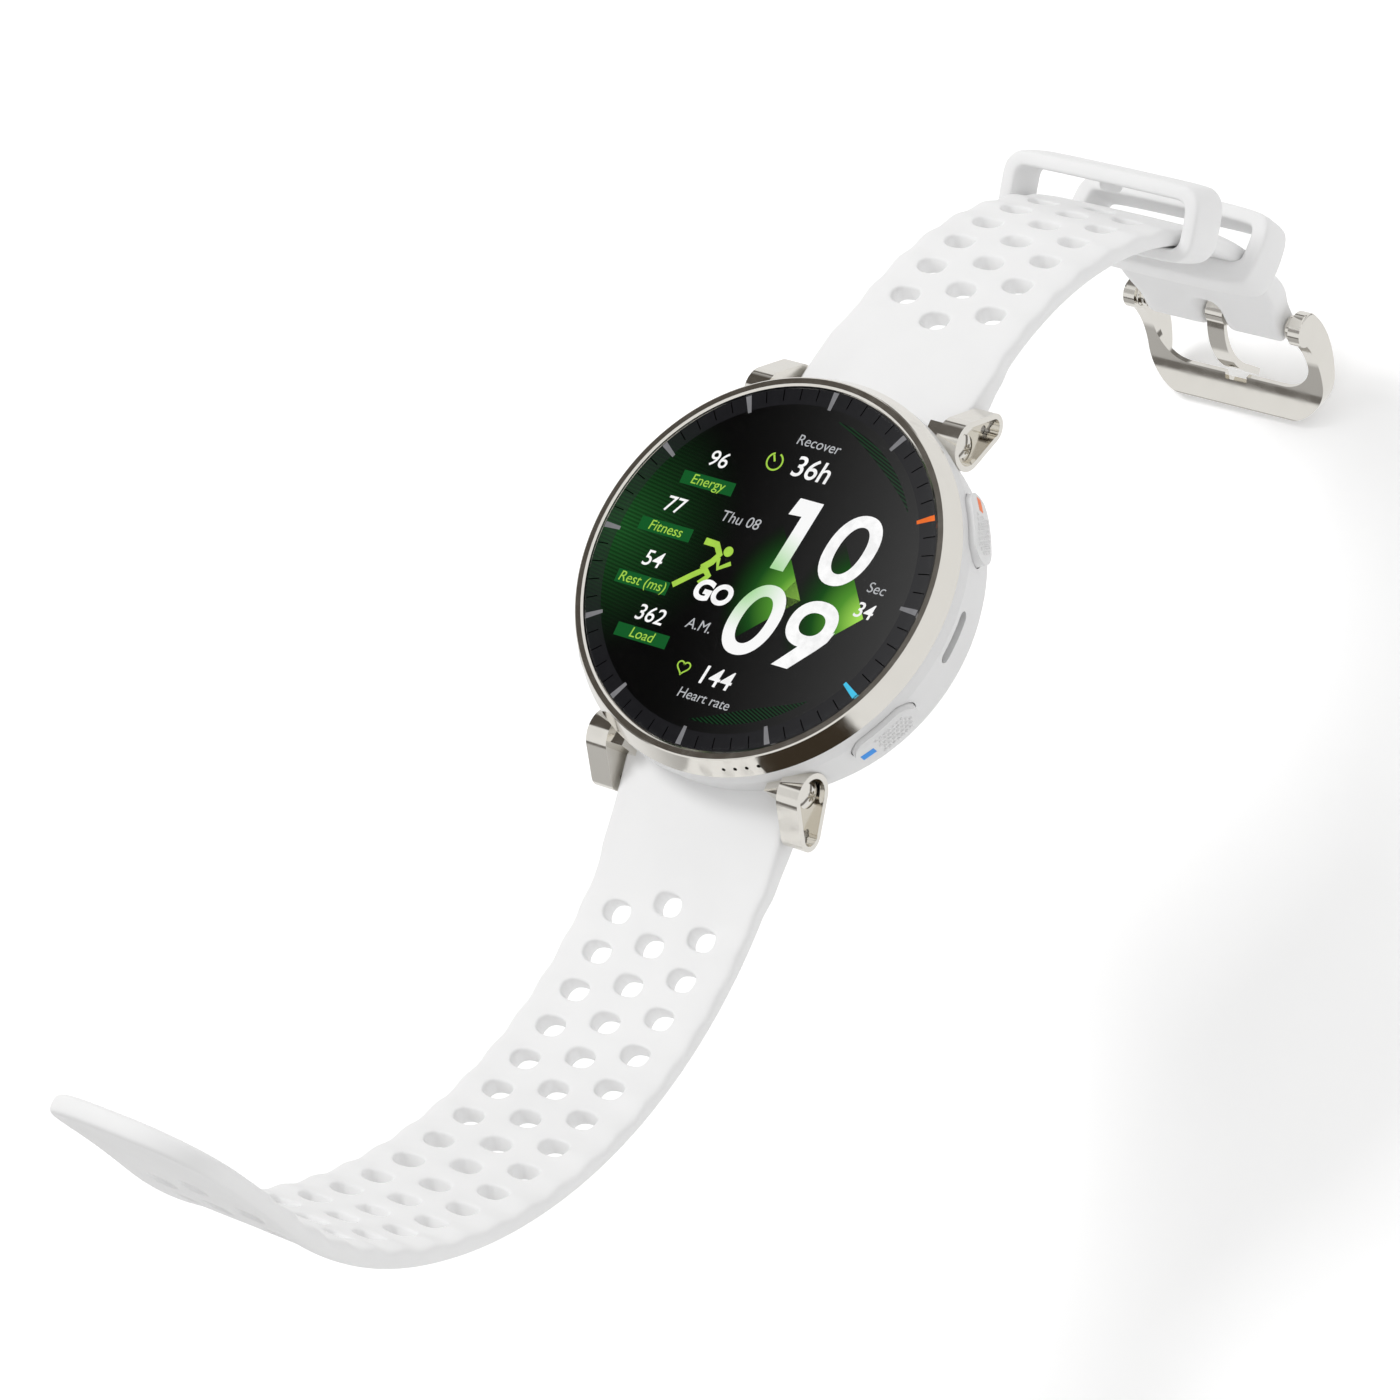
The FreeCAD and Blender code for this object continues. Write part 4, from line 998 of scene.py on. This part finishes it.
def make_readings():
    """The small numbers and plain words."""
    for name, text, x, y in (("energy", "96", -10.3, 9.95), ("fitness", "77", -13.1, 3.95),
                             ("rest", "54", -12.7, -2.3), ("load", "362", -10.0, -8.1)):
        dial_text("number_" + name, text, "dial_white", (x, y), 1.75, 0.015)
    for name, text, x, y in (("energy", "Energy", -10.3, 7.25), ("fitness", "Fitness", -12.8, 1.25),
                             ("rest", "Rest (ms)", -12.7, -4.9), ("load", "Load", -9.9, -10.4)):
        dial_text("label_" + name, text, "dial_lime", (x, y), 1.12)
        wide, high = LABEL_BAR
        bar = [(x - wide, y - high), (x + wide, y - high), (x + wide, y + high), (x - wide, y + high)]
        dial_piece("strip_" + name, "dial_strip", [bar], SHAPE_LIFT)
    for name, text, finish, *rest in (
            ("word_recover", "Recover", "dial_grey", (0.6, 14.35), 1.15),
            ("number_recover", "36h", "dial_white", (1.1, 11.45), 2.3, 0.03),
            ("date", "Thu 08", "dial_grey", (-4.5, 4.3), 1.22),
            ("go", "GO", "dial_white", (-3.95, -4.0), 2.15, 0.14),
            ("half_day", "A.M.", "dial_grey", (-3.75, -7.7), 1.2),
            ("number_pulse", "144", "dial_white", (0.8, -12.55), 2.05, 0.03),
            ("word_pulse", "Heart rate", "dial_grey", (0.6, -14.95), 1.1),
            ("word_seconds", "Sec", "dial_grey", (14.6, 1.2), 1.15),
            ("number_seconds", "34", "dial_white", (14.25, -1.4), 1.65, 0.02)):
        dial_text(name, text, finish, *rest)


def stroke(points, width):
    """A thin outline round a polyline, with square ends."""
    left, right = [], []
    for k, (x, y) in enumerate(points):
        ax, ay = points[max(0, k - 1)]
        bx, by = points[min(len(points) - 1, k + 1)]
        length = math.hypot(bx - ax, by - ay)
        nx, ny = -(by - ay) / length * width / 2, (bx - ax) / length * width / 2
        left.append((x + nx, y + ny))
        right.append((x - nx, y - ny))
    return left + right[::-1]


def circle(cx, cy, radius, start=0, end=360, steps=24):
    """The points of an arc between two angles in degrees, both ends included."""
    points = []
    for k in range(steps + 1):
        a = math.radians(between(start, end, k / steps))
        points.append((cx + radius * math.cos(a), cy + radius * math.sin(a)))
    return points


def make_icons():
    """A heart, a timer and a running figure of plain design."""
    timer = stroke(circle(-3.6, 11.4, 0.95, 110, 430), 0.2)
    hand = stroke([(-3.6, 11.4), (-4.0, 12.1)], 0.22)
    dial_piece("icon_timer", "dial_lime", [timer])
    dial_piece("icon_timer_hand", "dial_lime", [hand], HAND_LIFT)
    heart = []
    for k in range(33):
        t = math.radians(k * 360 / 32)
        x = 16 * math.sin(t) ** 3
        y = 13 * math.cos(t) - 5 * math.cos(2 * t) - 2 * math.cos(3 * t) - math.cos(4 * t)
        heart.append((-3.35 + x * 0.05, -12.35 + y * 0.05))
    dial_piece("icon_heart", "dial_lime", [stroke(heart, 0.17)])
    dial_piece("icon_runner_head", "dial_lime", [circle(-4.2, 0.75, 0.58)[:-1]])
    limbs = (("back", [(-7.5, 1.2), (-5.9, 1.15), (-5.1, 0.2), (-5.6, -0.8), (-6.5, -1.7)], 0.78),
             ("leg", [(-6.5, -1.4), (-5.3, -2.3), (-6.0, -3.4)], 0.74),
             ("trail", [(-6.2, -1.9), (-7.2, -2.7), (-9.0, -4.3)], 0.66),
             ("arm", [(-5.0, -0.2), (-4.6, -1.3), (-3.3, -0.4)], 0.5))
    for name, points, width in limbs:
        dial_piece("icon_runner_" + name, "dial_lime", [stroke(points, width)], LIMB_LIFT)


def make_ticks():
    """Twelve hour marks, and thin dark minute marks between them."""
    for hour in range(12):
        finish = {1: "dial_orange", 11: "dial_cyan"}.get(hour, "dial_tick")
        a = math.radians(30 * hour)
        outline = []
        for radius, side in ((18.2, -0.2), (20.2, -0.33), (20.2, 0.33), (18.2, 0.2)):
            x = radius * math.cos(a) - side * math.sin(a)
            outline.append((x, radius * math.sin(a) + side * math.cos(a)))
        dial_piece("tick_%02d" % hour, finish, [outline], TICK_LIFT)
    marks = []
    for minute in range(60):
        if minute % 5:
            a = math.radians(6 * minute)
            marks.append(stroke([(r * math.cos(a), r * math.sin(a)) for r in (18.9, 20.2)], 0.12))
    dial_piece("minute_marks", "dial_minute", marks)


def make_wedges():
    """The two glowing arrow shapes behind the time."""
    for name, point in WEDGES:
        outline = [(point, WEDGE_Y), (point - 6.6, 6.0), (point - 10.5, WEDGE_Y), (point - 8.8, -11.0)]
        dial_piece(name, name, [outline], SHAPE_LIFT)


def make_hatches():
    """Two faint lined arcs along the edge of the picture."""
    for name, start, end, inside in (("hatch_upper", 35, 84, 16.3), ("hatch_lower", -90, -44, 15.9)):
        arc = circle(0, 0, HATCH_RADIUS, start, end)
        outline = list(arc)
        for k, (x, y) in enumerate(reversed(arc)):
            bulge = math.sin(math.pi * k / (len(arc) - 1))
            shrink = between(HATCH_RADIUS - 0.1, inside, bulge) / HATCH_RADIUS
            outline.append((x * shrink, y * shrink))
        dial_piece(name, "dial_hatch", [outline], SHAPE_LIFT)


def make_dial():
    make_dial_finishes()
    dial_piece("dial_ground", "dial_ground", [circle(0, 0, DIAL_RADIUS, steps=96)[:-1]], 0.0)
    dial_piece("dial_ring", "dial_ring", [circle(0, 0, DIAL_RADIUS, steps=96)[:-1],
                                          circle(0, 0, RING_RADIUS, steps=96)[:-1]], RING_LIFT)
    make_wedges()
    make_hatches()
    make_ticks()
    make_time()
    make_readings()
    make_icons()


# ---- studio ----

FLOOR_GAP, FLOOR_HALF = 0.0004, 3.0
# the key light's place, size and power
KEY_PLACE, KEY_SIZE, KEY_POWER = (-0.5, 0.2, 0.85), 0.3, 4.2
ROOM_STRENGTH = 0.84


def make_floor():
    low = cad_box[0].z - FLOOR_GAP
    mesh = bpy.data.meshes.new("floor")
    half = FLOOR_HALF
    mesh.from_pydata([(-half, -half, low), (half, -half, low), (half, half, low), (-half, half, low)], [],
                     [(0, 1, 2, 3)])
    finish = Finish("floor_pale", (0.93, 0.93, 0.93), 0.9, Emission_Strength=0.22)
    finish.set("Emission Color", (1.0, 1.0, 1.0, 1.0))
    finish.vary_roughness(40.0, 0.85, 0.95)
    mesh.materials.append(finish.material)
    floor = bpy.data.objects.new("floor", mesh)
    bpy.context.scene.collection.objects.link(floor)
    floor.visible_glossy = False


def make_camera():
    data = bpy.data.cameras.new("camera")
    data.lens = 140.15
    data.sensor_width = 36.0
    data.clip_start, data.clip_end = 0.01, 20.0
    camera = bpy.data.objects.new("camera", data)
    camera.location = (0.3190, -0.1162, 0.4576)
    camera.rotation_euler = [math.radians(a) for a in (25.079, 27.916, 27.397)]
    bpy.context.scene.collection.objects.link(camera)
    bpy.context.scene.camera = camera


def make_key_light():
    """A soft light from the upper left, aimed at the origin and kept out of the reflections."""
    data = bpy.data.lights.new("key", "AREA")
    data.shape = "RECTANGLE"
    data.size = data.size_y = KEY_SIZE
    data.energy = KEY_POWER
    light = bpy.data.objects.new("key", data)
    light.location = KEY_PLACE
    light.rotation_euler = (-Vector(KEY_PLACE)).to_track_quat("-Z", "Y").to_euler()
    light.visible_glossy = False
    bpy.context.scene.collection.objects.link(light)


# each dark panel of the room: (edge, softness) for its low and high X, Y and Z directions, and its depth
PANELS = (
    (((-0.97, 0.04), (-0.44, 0.12)), ((0.06, 0.04), (0.78, 0.1)), ((0.22, 0.06), (0.90, 0.04)), 0.95),
    (((-0.50, 0.4), (0.70, 0.012)), ((-1.2, 0.1), (-0.38, 0.03)), ((-0.5, 0.05), (0.12, 0.03)), 1.0),
    (((-0.52, 0.05), (-0.2, 0.03)), ((-0.55, 0.05), (-0.08, 0.03)), ((0.6, 0.05), (1.2, 0.1)), 0.9),
    (((-1.2, 0.1), (1.2, 0.1)), ((-1.2, 0.1), (1.2, 0.1)), ((0.10, 0.02), (0.26, 0.02)), 0.85),
    (((0.10, 0.04), (1.2, 0.1)), ((-1.2, 0.1), (1.2, 0.1)), ((-0.64, 0.03), (-0.44, 0.02)), 0.8),
)


class Room:
    """The world's nodes, with helpers that shape the light from each direction."""

    def __init__(self, world):
        self.nodes, self.links = world.node_tree.nodes, world.node_tree.links

    def step(self, value, start, end):
        ramp = self.nodes.new("ShaderNodeMapRange")
        ramp.inputs["From Min"].default_value = start
        ramp.inputs["From Max"].default_value = end
        self.links.new(value, ramp.inputs["Value"])
        return ramp.outputs["Result"]

    def band(self, value, low, high):
        """1 between two edges of a value, each with its own softness."""
        rise = self.step(value, low[0] - low[1], low[0] + low[1])
        fall = self.step(value, high[0] + high[1], high[0] - high[1])
        return math_node(self, "MULTIPLY", rise, fall)

    def mix(self, factor, a, b):
        node = self.nodes.new("ShaderNodeMix")
        node.data_type = "RGBA"
        self.links.new(factor, node.inputs["Factor"])
        for socket, value in (("A", a), ("B", b)):
            if isinstance(value, tuple):
                node.inputs[socket].default_value = (*value, 1.0)
            else:
                self.links.new(value, node.inputs[socket])
        return node.outputs["Result"]


def make_world():
    """A bright room with a few dark panels, which the metal and the glass reflect."""
    world = bpy.data.worlds.new("studio")
    bpy.context.scene.world = world
    world.use_nodes = True
    room = Room(world)
    place = room.nodes.new("ShaderNodeTexCoord").outputs["Generated"]
    split = room.nodes.new("ShaderNodeSeparateXYZ")
    room.links.new(place, split.inputs["Vector"])
    shade = None
    for *sides, depth in PANELS:
        mask = depth
        for axis, (low, high) in zip("XYZ", sides):
            mask = math_node(room, "MULTIPLY", room.band(split.outputs[axis], low, high), mask)
        shade = math_node(room, "MAXIMUM", mask, shade) if shade else mask
    light = room.mix(shade, (1.0, 1.0, 1.0), (0.05, 0.038, 0.026))
    seen = room.nodes.new("ShaderNodeLightPath").outputs["Is Camera Ray"]
    background = room.nodes["Background"]
    room.links.new(room.mix(seen, light, (1.15, 1.15, 1.15)), background.inputs["Color"])
    background.inputs["Strength"].default_value = ROOM_STRENGTH


def make_studio():
    make_floor()
    make_camera()
    make_world()
    make_key_light()
    bpy.context.scene.view_settings.view_transform = "Standard"


finish_nodes()
make_straps()
make_keepers()
make_button_dots()
make_dial()
make_studio()
